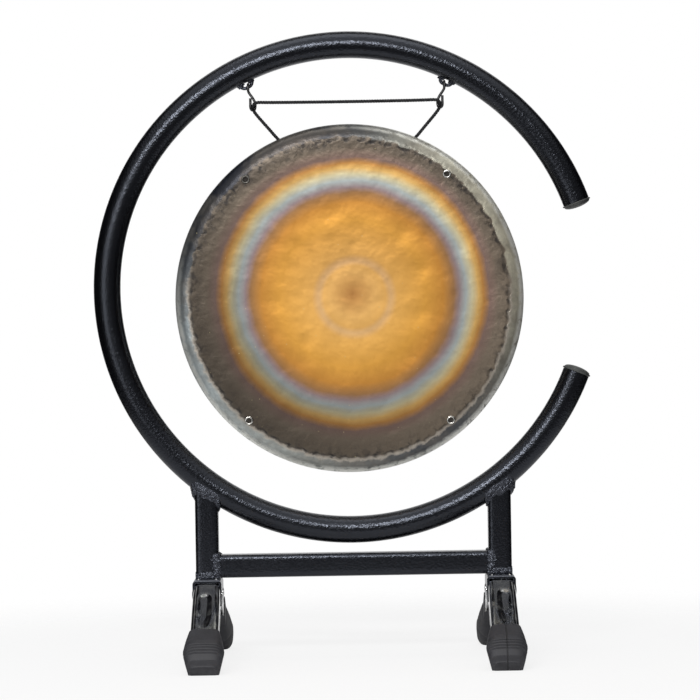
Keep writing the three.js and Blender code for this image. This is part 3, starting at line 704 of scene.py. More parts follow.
CORD_HALF_ROUTE = (
    (-63.9, 0, -28.65),
    (-67.4, 0.1, -25),
    (-73.2, 0.5, -18.2),
    (-79, 1.4, -11.5),
    (-84, 2.6, -5.6),
    (-87, 3.3, -1.6),
    (-88.35, 2.6, 1.5),
    (-88.45, 0.1, 2.95),
    (-88.2, -2.1, 4.4),
    (-86.2, -3.9, 6.7),
    (-82.8, -4.2, 7.3),
    (-76, -4.2, 7.2),
    (-60, -4.2, 7),
    (-40, -4.2, 6.9),
    (-20, -4.2, 6.8),
    (0, -4.2, 6.8),
)
TWIST_PITCH = 7.5 * MM
STRAND_SHARE = 0.3
STRAND_OFFSET_SHARE = 0.25
KNOT_STRAND_SHARE = 0.44
KNOT_SETBACK_SHARE = 0.43
KNOT_STEPS = 90
# The winding of a knot's strand, in millimetres
KNOT_LOOP = 1.35
KNOT_WAVE = 0.75
KNOT_RISE = 1.15


def cord_route():
    half = [hung(x * MM, y * MM, z * MM) for x, y, z in CORD_HALF_ROUTE]
    other = [hung(-x * MM, y * MM, z * MM) for x, y, z in CORD_HALF_ROUTE[-2::-1]]
    return smooth_route(half + other, 0.7 * MM)


def add_knot(side):
    """An overhand knot: a fat strand that winds round itself, drawn up tight."""
    rim_length = GONG_RIM_DEPTH - GONG_CROWN - GONG_SHOULDER_DEPTH
    hole_along = GONG_HOLE_DEPTH - GONG_CROWN - GONG_SHOULDER_DEPTH
    rim = GONG_RADIUS - GONG_WALL - GONG_RIM_TAPER * hole_along / rim_length
    reach = rim - 0.5 * MM - KNOT_SIZE * KNOT_SETBACK_SHARE
    up = reach * cos(GONG_HOLE_ANGLE) - GONG_DROP
    middle = Vector((side * reach * sin(GONG_HOLE_ANGLE), 0, up))
    turn = Matrix.Rotation(side * GONG_HOLE_ANGLE, 3, "Y")
    loops = []
    for t in full_turn(KNOT_STEPS):
        swing = KNOT_LOOP + cos(3 * t) * KNOT_WAVE
        flat = (swing * cos(2 * t), swing * sin(2 * t))
        spot = Vector((*flat, sin(3 * t) * KNOT_RISE))
        loops.append(hung(*(turn @ (spot * MM) + middle)))
    bm = bmesh.new()
    radius = CORD_THICKNESS * KNOT_STRAND_SHARE
    tube(bm, loops, radius, 10, closed=True, lumps=0.12, grain=1.5 * MM)
    name = "left" if side < 0 else "right"
    return add_piece(f"{name}_stopper_knot", bm, "cord_black", f"{name}_cord_knot")


def add_cord(knots):
    route = cord_route()
    bm = bmesh.new()
    steps = list(along(route))
    spacing = (route[1] - route[0]).length
    for strand in range(3):
        line = []
        for i, (point, side, other) in enumerate(steps):
            turn = 2 * pi * (strand / 3 + i * spacing / TWIST_PITCH)
            spoke = side * cos(turn) + other * sin(turn)
            line.append(point + spoke * CORD_THICKNESS * STRAND_OFFSET_SHARE)
        tube(bm, line, CORD_THICKNESS * STRAND_SHARE, 8)
    cord = add_piece("twisted_gong_cord", bm, "cord_black", "gong_cord", sharp=80)
    length = sum((b - a).length for a, b in zip(route, route[1:]))


add_cord([add_knot(side) for side in (-1, 1)])

# Ring and its end plugs

RING_STEPS = 260
RING_SIDES = 56
# A plug's flange, as (inward from its lip, outward from the mouth) in millimetres
PLUG_EDGE = ((1.6, 0.1), (0.35, 0.1), (0, 0.45), (0, 1.15), (0.35, 1.5), (0.9, 1.62), (1.15, 1.9))
PLUG_LIP = 0.9 * MM
PLUG_DOME = 3.5 * MM
PLUG_DOME_STEPS = 12


def ring_spoke(angle):
    return Vector((cos(angle), 0, sin(angle)))


def ring_place(angle):
    return Vector((MIDDLE_X, 0, RING_HEIGHT)) + ring_spoke(angle) * RING_RADIUS


def add_ring():
    start, end = UPPER_MOUTH, 2 * pi + LOWER_MOUTH
    rings = []
    for i in range(RING_STEPS + 1):
        angle = start + (end - start) * i / RING_STEPS
        outward = ring_spoke(angle)
        spokes = [outward * cos(t) + BACK * sin(t) for t in full_turn(RING_SIDES)]
        rings.append([ring_place(angle) + spoke * RING_TUBE / 2 for spoke in spokes])
    bm = bmesh.new()
    loft(bm, rings)
    add_piece("bent_ring_tube", bm, "hammered_coat", "ring_tube")


def add_plug(name, angle, turn):
    """A push-in plug: a thin flange with a rounded lip, and a low dome with a slack edge."""
    lip = RING_TUBE / 2 + PLUG_LIP
    profile = [(lip - inward * MM, height * MM) for inward, height in PLUG_EDGE]
    for i in range(1, PLUG_DOME_STEPS):
        sweep = pi / 2 * i / PLUG_DOME_STEPS
        height = PLUG_EDGE[-1][1] * MM + PLUG_DOME * sin(sweep)
        profile.append(((lip - 1.2 * MM) * cos(sweep), height))
    outward = Vector((-sin(angle), 0, cos(angle))) * turn
    facing = outward.to_track_quat("Z", "Y").to_matrix().to_4x4()
    bm = bmesh.new()
    lathe(bm, profile, 72, Matrix.Translation(ring_place(angle)) @ facing)
    add_piece(f"{name}_plug", bm, "plug_plastic", f"{name}_end_plug", sharp=50)


add_ring()
add_plug("upper", UPPER_MOUTH, -1)
add_plug("lower", LOWER_MOUTH, 1)

# Uprights, cross bar and brackets

POST_STEPS = 12


def ring_underside(across, back):
    """Height of the ring tube's underside over a point of the plan, given from the middle plane."""
    outside = RING_RADIUS + sqrt((RING_TUBE / 2) ** 2 - back**2)
    return RING_HEIGHT - sqrt(outside**2 - across**2)


def add_square_tube(name, node, start, end, steps):
    """A square tube between the outlines of its two ends."""
    pairs = list(zip(start, end))
    bm = bmesh.new()
    loft(bm, [[a.lerp(b, i / steps) for a, b in pairs] for i in range(steps + 1)])
    add_piece(name, bm, "hammered_coat", node)


def add_upright(name, side):
    across = side * UPRIGHT_X
    outline = [(across + u, v) for u, v in rounded_square(SQUARE_TUBE)]
    foot = [Vector((MIDDLE_X + u, v, BRACKET_TOP)) for u, v in outline]
    head = [Vector((MIDDLE_X + u, v, ring_underside(u, v))) for u, v in outline]
    add_square_tube(f"{name}_square_post", f"{name}_upright", foot, head, POST_STEPS)


def add_cross_bar():
    reach = (UPRIGHT_SPACING - SQUARE_TUBE) / 2
    outline = rounded_square(SQUARE_TUBE)
    ends = (MIDDLE_X - reach, MIDDLE_X + reach)
    start, end = ([Vector((x, u, BAR_HEIGHT + v)) for u, v in outline] for x in ends)
    add_square_tube("square_cross_bar", "cross_bar", start, end, 2 * POST_STEPS)


def bracket_outline(grow):
    """Half of the bent sheet's cross-section, from the foot to the middle, as (across, up)."""
    half = BRACKET_WIDTH / 2 - grow
    corner = BRACKET_CORNER - grow
    top = BRACKET_TOP - grow
    line = [(half, BRACKET_TOP - BRACKET_DEPTH), (half, top - corner)]
    for i in range(1, 8):
        turn = pi / 2 * i / 8
        bend = (corner * cos(turn), corner * sin(turn))
        line.append((half - corner + bend[0], top - corner + bend[1]))
    line.append((half - corner, top))
    return line


def add_bracket(name, side):
    middle = MIDDLE_X + side * UPRIGHT_X
    outer, inner = bracket_outline(0), bracket_outline(BRACKET_SHEET)
    section = outer + [(-u, v) for u, v in reversed(outer)]
    section += [(-u, v) for u, v in inner] + list(reversed(inner))
    ends = (-BRACKET_LENGTH / 2, BRACKET_LENGTH / 2)
    bm = bmesh.new()
    loft(bm, [[Vector((middle + u, y, v)) for u, v in section] for y in ends])
    piece = add_piece(f"{name}_bent_bracket", bm, "hammered_coat", f"{name}_foot_bracket")
    soften_edges(piece, "rubbed edges", 0.45 * MM, 3, 50)


for word, side in SIDES.items():
    add_upright(word, side)
    add_bracket(word, side)
add_cross_bar()

# Welds: lumpy ropes along the seams, each with its radius and its lumps as a share of that

BAR_BEAD = (3.9 * MM, 0.55)
BRACKET_BEAD = (3.5 * MM, 0.45)


def add_weld(name, node, seam, radius, lumps, middle, press):
    """A rope of weld along a seam: past the square tube's faces only a share of it stands out."""
    bm = bmesh.new()
    route = evenly(seam, 160, closed=True)
    tube(bm, route, radius, 20, closed=True, lumps=lumps, grain=2.1 * MM)
    for vert in bm.verts:
        for axis, share in enumerate(press):
            off = vert.co[axis] - middle[axis]
            beyond = max(abs(off) - SQUARE_TUBE / 2, 0)
            vert.co[axis] -= copysign(beyond * (1 - share), off)
    add_piece(name, bm, "hammered_coat", node, finish=WELD_COAT, sharp=80)


def on_ring(spot):
    """The point of the ring tube's surface that is nearest to a spot."""
    hub = Vector((MIDDLE_X, 0, RING_HEIGHT))
    spoke = Vector((spot.x - hub.x, 0, spot.z - hub.z)).normalized()
    core = hub + spoke * RING_RADIUS
    return core + (spot - core).normalized() * (RING_TUBE / 2 + 0.1 * MM)


def add_ring_weld(name, node, seam, middle, side):
    """A broad fillet between the ring's underside and a post, rippled as it was laid."""
    rings = []
    for point in evenly(seam, 180, closed=True):
        out = Vector((point.x - middle, point.y, 0)).normalized()
        high = (5.4 + 1.6 * ripple(point, 3.4)) * MM
        low = (7 + 2.6 * out.x * side + 2.2 * ripple(point, 4.6, 7)) * MM
        upper = on_ring(point + (out + UP) * high * 0.7)
        lower = point - UP * low + out * 0.15 * MM
        ring = [point + UP * MM - out * 2 * MM, upper]
        for k in range(1, 12):
            spot = upper.lerp(lower, k / 12)
            lump = ripple(spot, 1.9) * 1.5 + ripple(spot, 4) * 1.2
            proud = sin(pi * k / 12) * (0.9 + lump) * MM
            ring.append(spot + (out - UP) * proud * 0.7)
        rings.append([*ring, lower, point - UP * low * 0.5 - out * 2 * MM])
    bm = bmesh.new()
    loft(bm, rings, closed=True)
    add_piece(name, bm, "hammered_coat", node, finish=WELD_COAT, sharp=80)


for word, side in SIDES.items():
    across = side * UPRIGHT_X
    post = Vector((MIDDLE_X + across, 0, BRACKET_TOP))
    outline = rounded_square(SQUARE_TUBE)
    saddle = [Vector((post.x + u, v, ring_underside(across + u, v))) for u, v in outline]
    add_ring_weld(f"{word}_ring_bead", f"{word}_ring_weld", saddle, post.x, side)
    joint = Vector((post.x - side * (SQUARE_TUBE / 2 - 2.4 * MM), 0, BAR_HEIGHT))
    butt = [joint + Vector((0, u, v)) for u, v in outline]
    add_weld(f"{word}_bar_bead", f"{word}_bar_weld", butt, *BAR_BEAD, joint, (1, 0.4, 0.55))
    seat = [post + Vector((u, v, 3.6 * MM)) for u, v in outline]
    bead, node = f"{word}_bracket_bead", f"{word}_bracket_weld"
    add_weld(bead, node, seat, *BRACKET_BEAD, post, (0.1, 0.5, 1))

# Hanger eyes and S-hooks: the hook's crooks, tip and barb are in millimetres

HOOK_LOW_RADIUS = 2.95
HOOK_HIGH_RADIUS = 3.2
HOOK_TIP = 8.4
HOOK_BARB = 3


def add_eye(name, side):
    """A small staple of wire, with a lump of weld at each end."""
    half, bend = EYE_SPAN / 2, EYE_SPAN / 4
    left = [(-half, EYE_DROP + EYE_WIRE), (-half, bend), (-bend, EYE_LOW), (0, EYE_LOW)]
    spots = left + [(-x, z) for x, z in left[-2::-1]]
    middle = Matrix.Translation((MIDDLE_X + side * EYE_X, 0, EYE_HEIGHT))
    place = middle @ Matrix.Rotation(side * EYE_ANGLE, 4, "Y")
    bm = bmesh.new()
    route = smooth_route([place @ Vector((x, 0, z)) for x, z in spots], 0.5 * MM)
    tube(bm, route, EYE_WIRE / 2, 14)
    for end in (-half, half):
        lump = bmesh.ops.create_icosphere(bm, subdivisions=4, radius=EYE_LUMP)["verts"]
        for vert in lump:
            swell = 1 + 0.5 * noise.noise(vert.co / (1.7 * MM) + Vector((end, side, 0)) * 900)
            vert.co = place @ (vert.co * swell + Vector((end, 0, EYE_DROP + 0.4 * MM)))
    nodes = (f"{name}_hanger_eye",)
    add_piece(f"{name}_wire_eye", bm, "hammered_coat", *nodes, finish=WELD_COAT, sharp=80)


def hook_route():
    """The S-hook's line from the tip in its lower crook to its barb, in millimetres."""
    low, high = HOOK_LOW_RADIUS, HOOK_HIGH_RADIUS
    inset, length = HOOK_INSET / MM, HOOK_LENGTH / MM
    turned, behind = cos(CROOK_TURN), sin(CROOK_TURN)
    line = [(-low, low + HOOK_TIP), (-low, low + HOOK_TIP / 2)]
    for i in range(5):
        turn = pi + pi * i / 4
        line.append((low * cos(turn), low + low * sin(turn)))
    shank_top = length - high
    line.append((low, low + (shank_top - low) / 4))
    line = [(reach * turned, reach * behind, up) for reach, up in line]
    lean = -inset - low * turned
    line.append((low * turned + lean / 4, high * 0.7, (low + shank_top) / 2))
    line.append((-inset, high, shank_top))
    for i in range(5):
        turn = pi * i / 4
        line.append((-inset, high * cos(turn), length + high * sin(turn)))
    line.append((-inset, -high, length - HOOK_BARB))
    return line


def add_hook(name, side):
    crook = Vector((MIDDLE_X + side * CROOK_X, 0, CROOK_HEIGHT))
    route = [crook + Vector((-side * x, y, z)) * MM for x, y, z in hook_route()]
    bm = bmesh.new()
    tube(bm, smooth_route(route, 0.5 * MM), HOOK_WIRE / 2, 14)
    add_piece(f"{name}_wire_hook", bm, "hook_steel", f"{name}_s_hook", sharp=60)


for word, side in SIDES.items():
    add_eye(word, side)
    add_hook(word, side)

# Folding legs: places are (outward, up) from the middle of the bracket, on the ground

CREST = PIVOT_HEIGHT + HUB_RADIUS
BEND_START = PIVOT_FORWARD + LEG_FLAT
BEND_END = (
    BEND_START + LEG_BEND * sin(LEG_SLOPE),
    CREST - LEG_BEND * (1 - cos(LEG_SLOPE)),
)
MOUTH_ALONG = (BEND_END[1] - FOOT_MOUTH_HEIGHT) / sin(LEG_SLOPE)
FLANGE_START = (
    PIVOT_FORWARD - HUB_RADIUS * sin(LEG_SLOPE),
    PIVOT_HEIGHT - HUB_RADIUS * cos(LEG_SLOPE),
)
# Pressed marks: the long recess, and the dimple as (across, down the leg) from the bend's end
RECESS_SHIFT = 1.3 * MM
RECESS_HALF = 7 * MM
RECESS_DEPTH = 1.1 * MM
DIMPLE = (7.6 * MM, -5.5 * MM)
DIMPLE_RADIUS = 2.3 * MM
DIMPLE_DEPTH = 0.8 * MM
LEG_STEPS = 110
BEHIND_PIVOT = 14
WEB_STEPS = 20
FLANGE_STEPS = 5
CORNER_STEPS = 6


def on_leg(reach, above=0.0):
    """A point at a distance down the leg's straight part and a height square to it."""
    outward = BEND_END[0] + reach * cos(LEG_SLOPE) + above * sin(LEG_SLOPE)
    return outward, BEND_END[1] - reach * sin(LEG_SLOPE) + above * cos(LEG_SLOPE)


FLANGE_END = on_leg(MOUTH_ALONG + LEG_TUCK, -LEG_DEPTH)
# The leg's width at places outward
LEG_STATIONS = (
    (-20 * MM, 21.4 * MM),
    (PIVOT_FORWARD + HUB_RADIUS + 2.9 * MM, 21.4 * MM),
    (40 * MM, 22.4 * MM),
    (on_leg(MOUTH_ALONG)[0], 23 * MM),
    (on_leg(MOUTH_ALONG + FOOT_LENGTH)[0], 23 * MM),
)


def leg_half(outward):
    """Half of the leg's width at a distance outward."""
    for (start, narrow), (stop, wide) in zip(LEG_STATIONS, LEG_STATIONS[1:]):
        if outward <= stop:
            share = (outward - start) / (stop - start)
            return (narrow + (wide - narrow) * share) / 2
    return LEG_STATIONS[-1][1] / 2


def leg_top(outward):
    """Height of the leg's upper outline, and its slope there."""
    if outward < PIVOT_FORWARD:
        return PIVOT_HEIGHT + sqrt(max(HUB_RADIUS**2 - (outward - PIVOT_FORWARD) ** 2, 0)), 0.0
    if outward <= BEND_START:
        return CREST, 0.0
    if outward <= BEND_END[0]:
        drop = sqrt(LEG_BEND**2 - (outward - BEND_START) ** 2)
        return CREST - LEG_BEND + drop, asin((outward - BEND_START) / LEG_BEND)
    return BEND_END[1] - (outward - BEND_END[0]) * tan(LEG_SLOPE), LEG_SLOPE


def leg_bottom(outward):
    """Height of the flanges' lower outline."""
    if outward <= FLANGE_START[0]:
        return PIVOT_HEIGHT - sqrt(max(HUB_RADIUS**2 - (outward - PIVOT_FORWARD) ** 2, 0))
    (near, high), (far, low) = FLANGE_START, FLANGE_END
    return high + (low - high) * (outward - near) / (far - near)


def pressed(outward, across, outer):
    """How deep the long recess and the round dimple are pressed into the web there."""
    reach = outward - BEND_END[0]
    u = (across - outer * RECESS_SHIFT) / RECESS_HALF
    v = max((19 * MM - reach) / (8 * MM), (reach - 42 * MM) / (22 * MM), 0)
    recess = RECESS_DEPTH * (1 - smooth_step(0.3, 1.15, hypot(u, v)))
    dimple = hypot(across - outer * DIMPLE[0], reach - DIMPLE[1]) / DIMPLE_RADIUS
    return recess + DIMPLE_DEPTH * (1 - smooth_step(0.1, 1.0, dimple))


def leg_column(outward, outer):
    """Points across the leg at a distance outward, from one flange's foot to the other's."""
    top, slope = leg_top(outward)
    bottom = leg_bottom(outward)
    half = leg_half(outward)
    rise = LEG_CORNER / cos(slope)
    side = []
    behind = outward < PIVOT_FORWARD - 0.01 * MM
    for i in range(FLANGE_STEPS + CORNER_STEPS + 1):
        if behind:
            side.append((half, bottom + (top - bottom) * i / (FLANGE_STEPS + CORNER_STEPS)))
        elif i <= FLANGE_STEPS:
            side.append((half, bottom + (top - rise - bottom) * i / FLANGE_STEPS))
        else:
            turn = pi / 2 * (i - FLANGE_STEPS) / CORNER_STEPS
            in_by, down_by = LEG_CORNER * (1 - cos(turn)), rise * (1 - sin(turn))
            side.append((half - in_by, top - down_by))
    web = []
    flat = half - LEG_CORNER
    for i in range(1, WEB_STEPS):
        across = flat * (1 - 2 * i / WEB_STEPS)
        web.append((across, top - (0 if behind else pressed(outward, across, outer))))
    return side + web + [(-u, v) for u, v in reversed(side)]


def leg_reaches():
    """Distances outward of the leg's columns: closer together round the hub."""
    turns = (pi / 2 * (i + 0.4) / BEHIND_PIVOT for i in range(BEHIND_PIVOT))
    hub = [PIVOT_FORWARD - HUB_RADIUS * cos(turn) for turn in turns]
    span = FLANGE_END[0] - PIVOT_FORWARD
    return hub + [PIVOT_FORWARD + span * i / LEG_STEPS for i in range(LEG_STEPS + 1)]


def corner_place(end, side):
    """Turns (across, outward, up) of a corner's leg into the frame."""
    middle = Matrix.Translation((MIDDLE_X + side * UPRIGHT_X, 0, 0))
    return middle @ Matrix.Rotation(pi if end == "rear" else 0, 4, "Z")


def add_leg(end, word, place, outer):
    """A pressed channel, open below, with its top pressed in; outer is the side that faces out."""
    bm = bmesh.new()
    columns = []
    for outward in leg_reaches():
        points = (place @ Vector((u, -outward, v)) for u, v in leg_column(outward, outer))
        columns.append([bm.verts.new(point) for point in points])
    web_start = FLANGE_STEPS + CORNER_STEPS
    for i, (near, far) in enumerate(zip(columns, columns[1:])):
        for j in range(len(near) - 1):
            if i < BEHIND_PIVOT and web_start <= j < len(near) - 1 - web_start:
                continue
            bm.faces.new((near[j], far[j], far[j + 1], near[j + 1]))
    loose = [vert for vert in bm.verts if not vert.link_faces]
    bmesh.ops.delete(bm, geom=loose, context="VERTS")
    name, node = f"{end}_{word}_channel_leg", f"{end}_{word}_leg"
    piece = add_piece(name, bm, "leg_chrome", node, outward=False)
    wall = piece.modifiers.new("sheet", "SOLIDIFY")
    wall.thickness = LEG_SHEET
    wall.offset = -1
    wall.use_even_offset = True
    soften_edges(piece, "pressed edges", 0.3 * MM, 2, 60)


# Rubber feet: sections square to the leg, as shares of its length, width and depth

FOOT_SECTION_SHARES = (
    (0, 0.733, 0.075, -0.58),
    (0.072, 0.78, 0.083, -0.6),
    (0.217, 0.862, 0.103, -0.69),
    (0.361, 0.947, 0.12, -0.79),
    (0.506, 1, 0.124, -0.876),
    (0.651, 1, 0.086, -0.89),
    (0.795, 0.98, 0, -0.82),
    (0.916, 0.88, -0.12, -0.735),
    (1, 0.66, -0.285, -0.59),
)
RIB_SHARES = (0.6, 0.662, 0.724, 0.786)
FOOT_STEPS = 200
FOOT_SPOKES = 72
MOUTH_SQUARENESS = 6
TOE_SQUARENESS = 3.6
SOLE_SQUARENESS = 4.2
HEEL_SQUARENESS = 2.2
SOLE_HALF = 14 * MM
SIDE_SPREAD = 0.255
RIB_WIDTH_SHARE = 0.019
RIB_HEIGHT = 1.3 * MM
# The mouth at each end of the stand: how far it reaches back up the leg, how far its lip is
# drawn in, and 1 where the sole is flat
SHOE_MOUTHS = {"front": (5 * MM, 1.7 * MM, 1), "rear": (19 * MM, 0.4 * MM, 0)}
# Tabs as (half width, outline), the outline in millimetres along the leg and square to it
SHOE_TONGUE = (10 * MM, ((-22, -1.85), (5, -1.85), (5, -12), (-22, -9)))
SHOE_TABS = {
    "front": (12.2 * MM, ((-15, -6.5), (7, -5), (7, -16.5), (-15, -14.2))),
    "rear": (13.5 * MM, ((-44, -1), (-10, -0.6), (-10, -19), (-46, -20.5))),
}


def foot_section(share):
    """(width, top, bottom) of the shoe at a share of its length, as shares of its sizes."""
    rows = FOOT_SECTION_SHARES
    spot = max(i for i, row in enumerate(rows[:-1]) if row[0] <= share)
    before, after = rows[max(spot - 1, 0)], rows[min(spot + 2, len(rows) - 1)]
    start, stop = rows[spot], rows[spot + 1]
    t = (share - start[0]) / (stop[0] - start[0])
    four = [Vector(row[1:]) for row in (before, start, stop, after)]
    return curve_point(*four, t)


def add_foot(end, word, place):
    """A moulded rubber shoe: ribs over the toe, cut flat where it stands, and tabs at the leg."""
    collar, lip, flat = SHOE_MOUTHS[end]
    rings = []
    for i in range(FOOT_STEPS + 1):
        share = i / FOOT_STEPS
        width, top, bottom = foot_section(share)
        ribs = sum(exp(-(((share - rib) / RIB_WIDTH_SHARE) ** 4)) for rib in RIB_SHARES)
        mouth = smooth_step(0, 0.07, share)
        past_neck = min(share / 0.4, 1)
        flatter = flat * smooth_step(0.62, 0.86, share)
        heel = HEEL_SQUARENESS + (SOLE_SQUARENESS - HEEL_SQUARENESS) * flatter
        middle, rise = (top + bottom) / 2 * FOOT_DEPTH, (top - bottom) / 2 * FOOT_DEPTH
        reach = MOUTH_ALONG + share * FOOT_LENGTH - collar * (1 - share) ** 2
        ring = []
        for turn in full_turn(FOOT_SPOKES):
            squareness = TOE_SQUARENESS if turn < pi else heel
            power = MOUTH_SQUARENESS + (squareness - MOUTH_SQUARENESS) * past_neck
            c, s = squircle(turn, power)
            proud = ribs * RIB_HEIGHT * smooth_step(-0.2, 0.5, s) - lip * (1 - mouth)
            outward, up = on_leg(reach, middle + (rise + proud) * s)
            half = SOLE_HALF + SIDE_SPREAD * max(up, 0) + (1 - flat) * 8 * MM
            wide = c * (width * FOOT_WIDTH / 2 + proud * 0.4)
            ring.append(place @ Vector((min(max(wide, -half), half), -outward, up)))
        rings.append(ring)
    bm = bmesh.new()
    loft(bm, rings)
    everything = [*bm.verts, *bm.edges, *bm.faces]
    ground = {"plane_co": (0, 0, 0), "plane_no": -UP}
    cut = bmesh.ops.bisect_plane(bm, geom=everything, clear_outer=True, **ground)
    sole = [item for item in cut["geom_cut"] if isinstance(item, bmesh.types.BMEdge)]
    bmesh.ops.contextual_create(bm, geom=sole)
    for reach, shape in (SHOE_TONGUE, SHOE_TABS[end]):
        spots = [on_leg(MOUTH_ALONG + along * MM, above * MM) for along, above in shape]
        walls = (-reach, reach)
        loft(bm, [[place @ Vector((x, -out, up)) for out, up in spots] for x in walls])
    name, node = f"{end}_{word}_rubber_shoe", f"{end}_{word}_rubber_foot"
    piece = add_piece(name, bm, "foot_rubber", node, sharp=50)
    soften_edges(piece, "moulded edges", 0.5 * MM, 2, 50)


def add_pivot_rivet(end, word, place):
    """A rivet through the bracket and the leg, with a low domed head at each side."""
    reach = BRACKET_WIDTH / 2 + 0.1 * MM
    radius = RIVET_HEAD / 2
    half = [(RIVET_SHANK / 2, 0), (RIVET_SHANK / 2, reach), (radius, reach)]
    for turn in (0.05, 0.35, 0.7, 1.1, 1.45):
        half.append((radius * cos(turn), reach + (0.2 + 0.8 * sin(turn)) * MM))
    profile = [(radius, -height) for radius, height in reversed(half[1:])] + half[1:]
    spot = Matrix.Translation(place @ Vector((0, -PIVOT_FORWARD, PIVOT_HEIGHT)))
    bm = bmesh.new()
    lathe(bm, profile, 40, spot @ Matrix.Rotation(pi / 2, 4, "Y"))
    add_piece(f"{end}_{word}_domed_rivet", bm, "leg_chrome", f"{end}_{word}_pivot_rivet")


for end in ("front", "rear"):
    for word, side in SIDES.items():
        place = corner_place(end, side)
        outer = side if end == "front" else -side
        add_leg(end, word, place, outer)
        add_foot(end, word, place)
        add_pivot_rivet(end, word, place)

# Gong: places are (across, depth, up) from the middle of its face, depth 0 at the front plane

GONG_CREASE = GONG_RADIUS - GONG_SHOULDER
FACE_STEPS = 46
SHOULDER_STEPS = 14
RIM_STEPS = 8
GONG_TURNS = 420
# Hammer dimples in the face: across, up, radius and depth in millimetres
DIMPLES = (
    (-14, 81, 13, 0.4),
    (-47, 50, 12, 0.45),
    (50, 63, 11, 0.35),
    (72, 27, 12, 0.35),
    (-70, -3, 13, 0.4),
    (66, -16, 12, 0.4),
    (-42, -38, 11, 0.3),
    (57, -54, 10, 0.3),
    (4, 52, 9, 0.2),
)


def on_gong(across, depth, up):
    return hung(across, depth - GONG_HOLE_DEPTH, up - GONG_DROP)


def gong_depth(radius, wall):
    """Depth of the gong's outer face, or of its inner one where wall is the sheet's thickness."""
    if radius <= GONG_CREASE:
        return wall + GONG_CROWN * (radius / GONG_CREASE) ** 2
    share = (radius - GONG_CREASE) / (GONG_SHOULDER - wall)
    fall = 1 - sqrt(max(0, 1 - share**2))
    return GONG_CROWN + wall + (GONG_SHOULDER_DEPTH - wall) * fall


def beaten(across, up):
    """How far the hammer has driven the face back at a place."""
    fade = 1 - smooth_step(0.86, 0.93, hypot(across, up) / GONG_RADIUS)
    depth = 0.0
    for x, z, radius, deep in DIMPLES:
        away = hypot(across - x * MM, up - z * MM) / (radius * MM)
        depth += deep * MM * exp(-3 * away * away)
    away = (hypot(across - BOSS[0], up - BOSS[1]) - BOSS_RADIUS) / (3.5 * MM)
    depth += 0.16 * MM * exp(-away * away)
    spot = Vector((across, up, 0))
    depth += 0.28 * MM * ripple(spot, 24) + 0.1 * MM * ripple(spot, 9)
    return max(depth * fade, -0.15 * MM * fade)


def gong_side(wall):
    """(radius, depth) from the middle to the edge of the rim, outside or inside."""
    reaches = [GONG_CREASE * (i + 0.15) / FACE_STEPS for i in range(FACE_STEPS)]
    for i in range(SHOULDER_STEPS + 1):
        turn = pi / 2 * i / SHOULDER_STEPS
        reaches.append(GONG_CREASE + (GONG_SHOULDER - wall) * sin(turn))
    line = [(radius, gong_depth(radius, wall)) for radius in reaches]
    start = line[-1]
    stop = (GONG_RADIUS - GONG_RIM_TAPER - wall, GONG_RIM_DEPTH - 0.4 * MM)
    for i in range(1, RIM_STEPS + 1):
        line.append(tuple(a + (b - a) * i / RIM_STEPS for a, b in zip(start, stop)))
    return line


def cord_hole_cutter():
    """Round bars where the cord goes through the rim."""
    bm = bmesh.new()
    for side in (-1, 1):
        outward = (side * sin(GONG_HOLE_ANGLE), cos(GONG_HOLE_ANGLE))
        reaches = [GONG_RADIUS + reach * MM for reach in (-12, -6, 0, 6)]
        line = [on_gong(outward[0] * r, GONG_HOLE_DEPTH, outward[1] * r) for r in reaches]
        tube(bm, line, GONG_HOLE / 2, 28)
    bmesh.ops.recalc_face_normals(bm, faces=bm.faces)
    return add_object("cord holes", bm)


def add_gong():
    middle = GONG_RADIUS - GONG_RIM_TAPER - GONG_WALL / 2
    lip = [(middle + 0.35 * MM, GONG_RIM_DEPTH), (middle - 0.35 * MM, GONG_RIM_DEPTH)]
    rings = []
    for radius, depth in gong_side(0) + lip + gong_side(GONG_WALL)[::-1]:
        ring = []
        for turn in full_turn(GONG_TURNS):
            across, up = radius * sin(turn), radius * cos(turn)
            dent = beaten(across, up) if depth < 8 * MM else 0
            ring.append(on_gong(across, depth + dent, up))
        rings.append(ring)
    bm = bmesh.new()
    loft(bm, rings)
    gong = add_piece("beaten_gong", bm, "gong_bronze", "gong_disc", sharp=40)
    holes = gong.modifiers.new("cord holes", "BOOLEAN")
    holes.operation = "DIFFERENCE"
    holes.object = cord_hole_cutter()
    bpy.context.view_layer.update()
    shaped = gong.evaluated_get(bpy.context.evaluated_depsgraph_get())
    cut = bpy.data.meshes.new_from_object(shaped)
    bpy.data.objects.remove(holes.object)
    gong.modifiers.clear()
    gong.data = cut


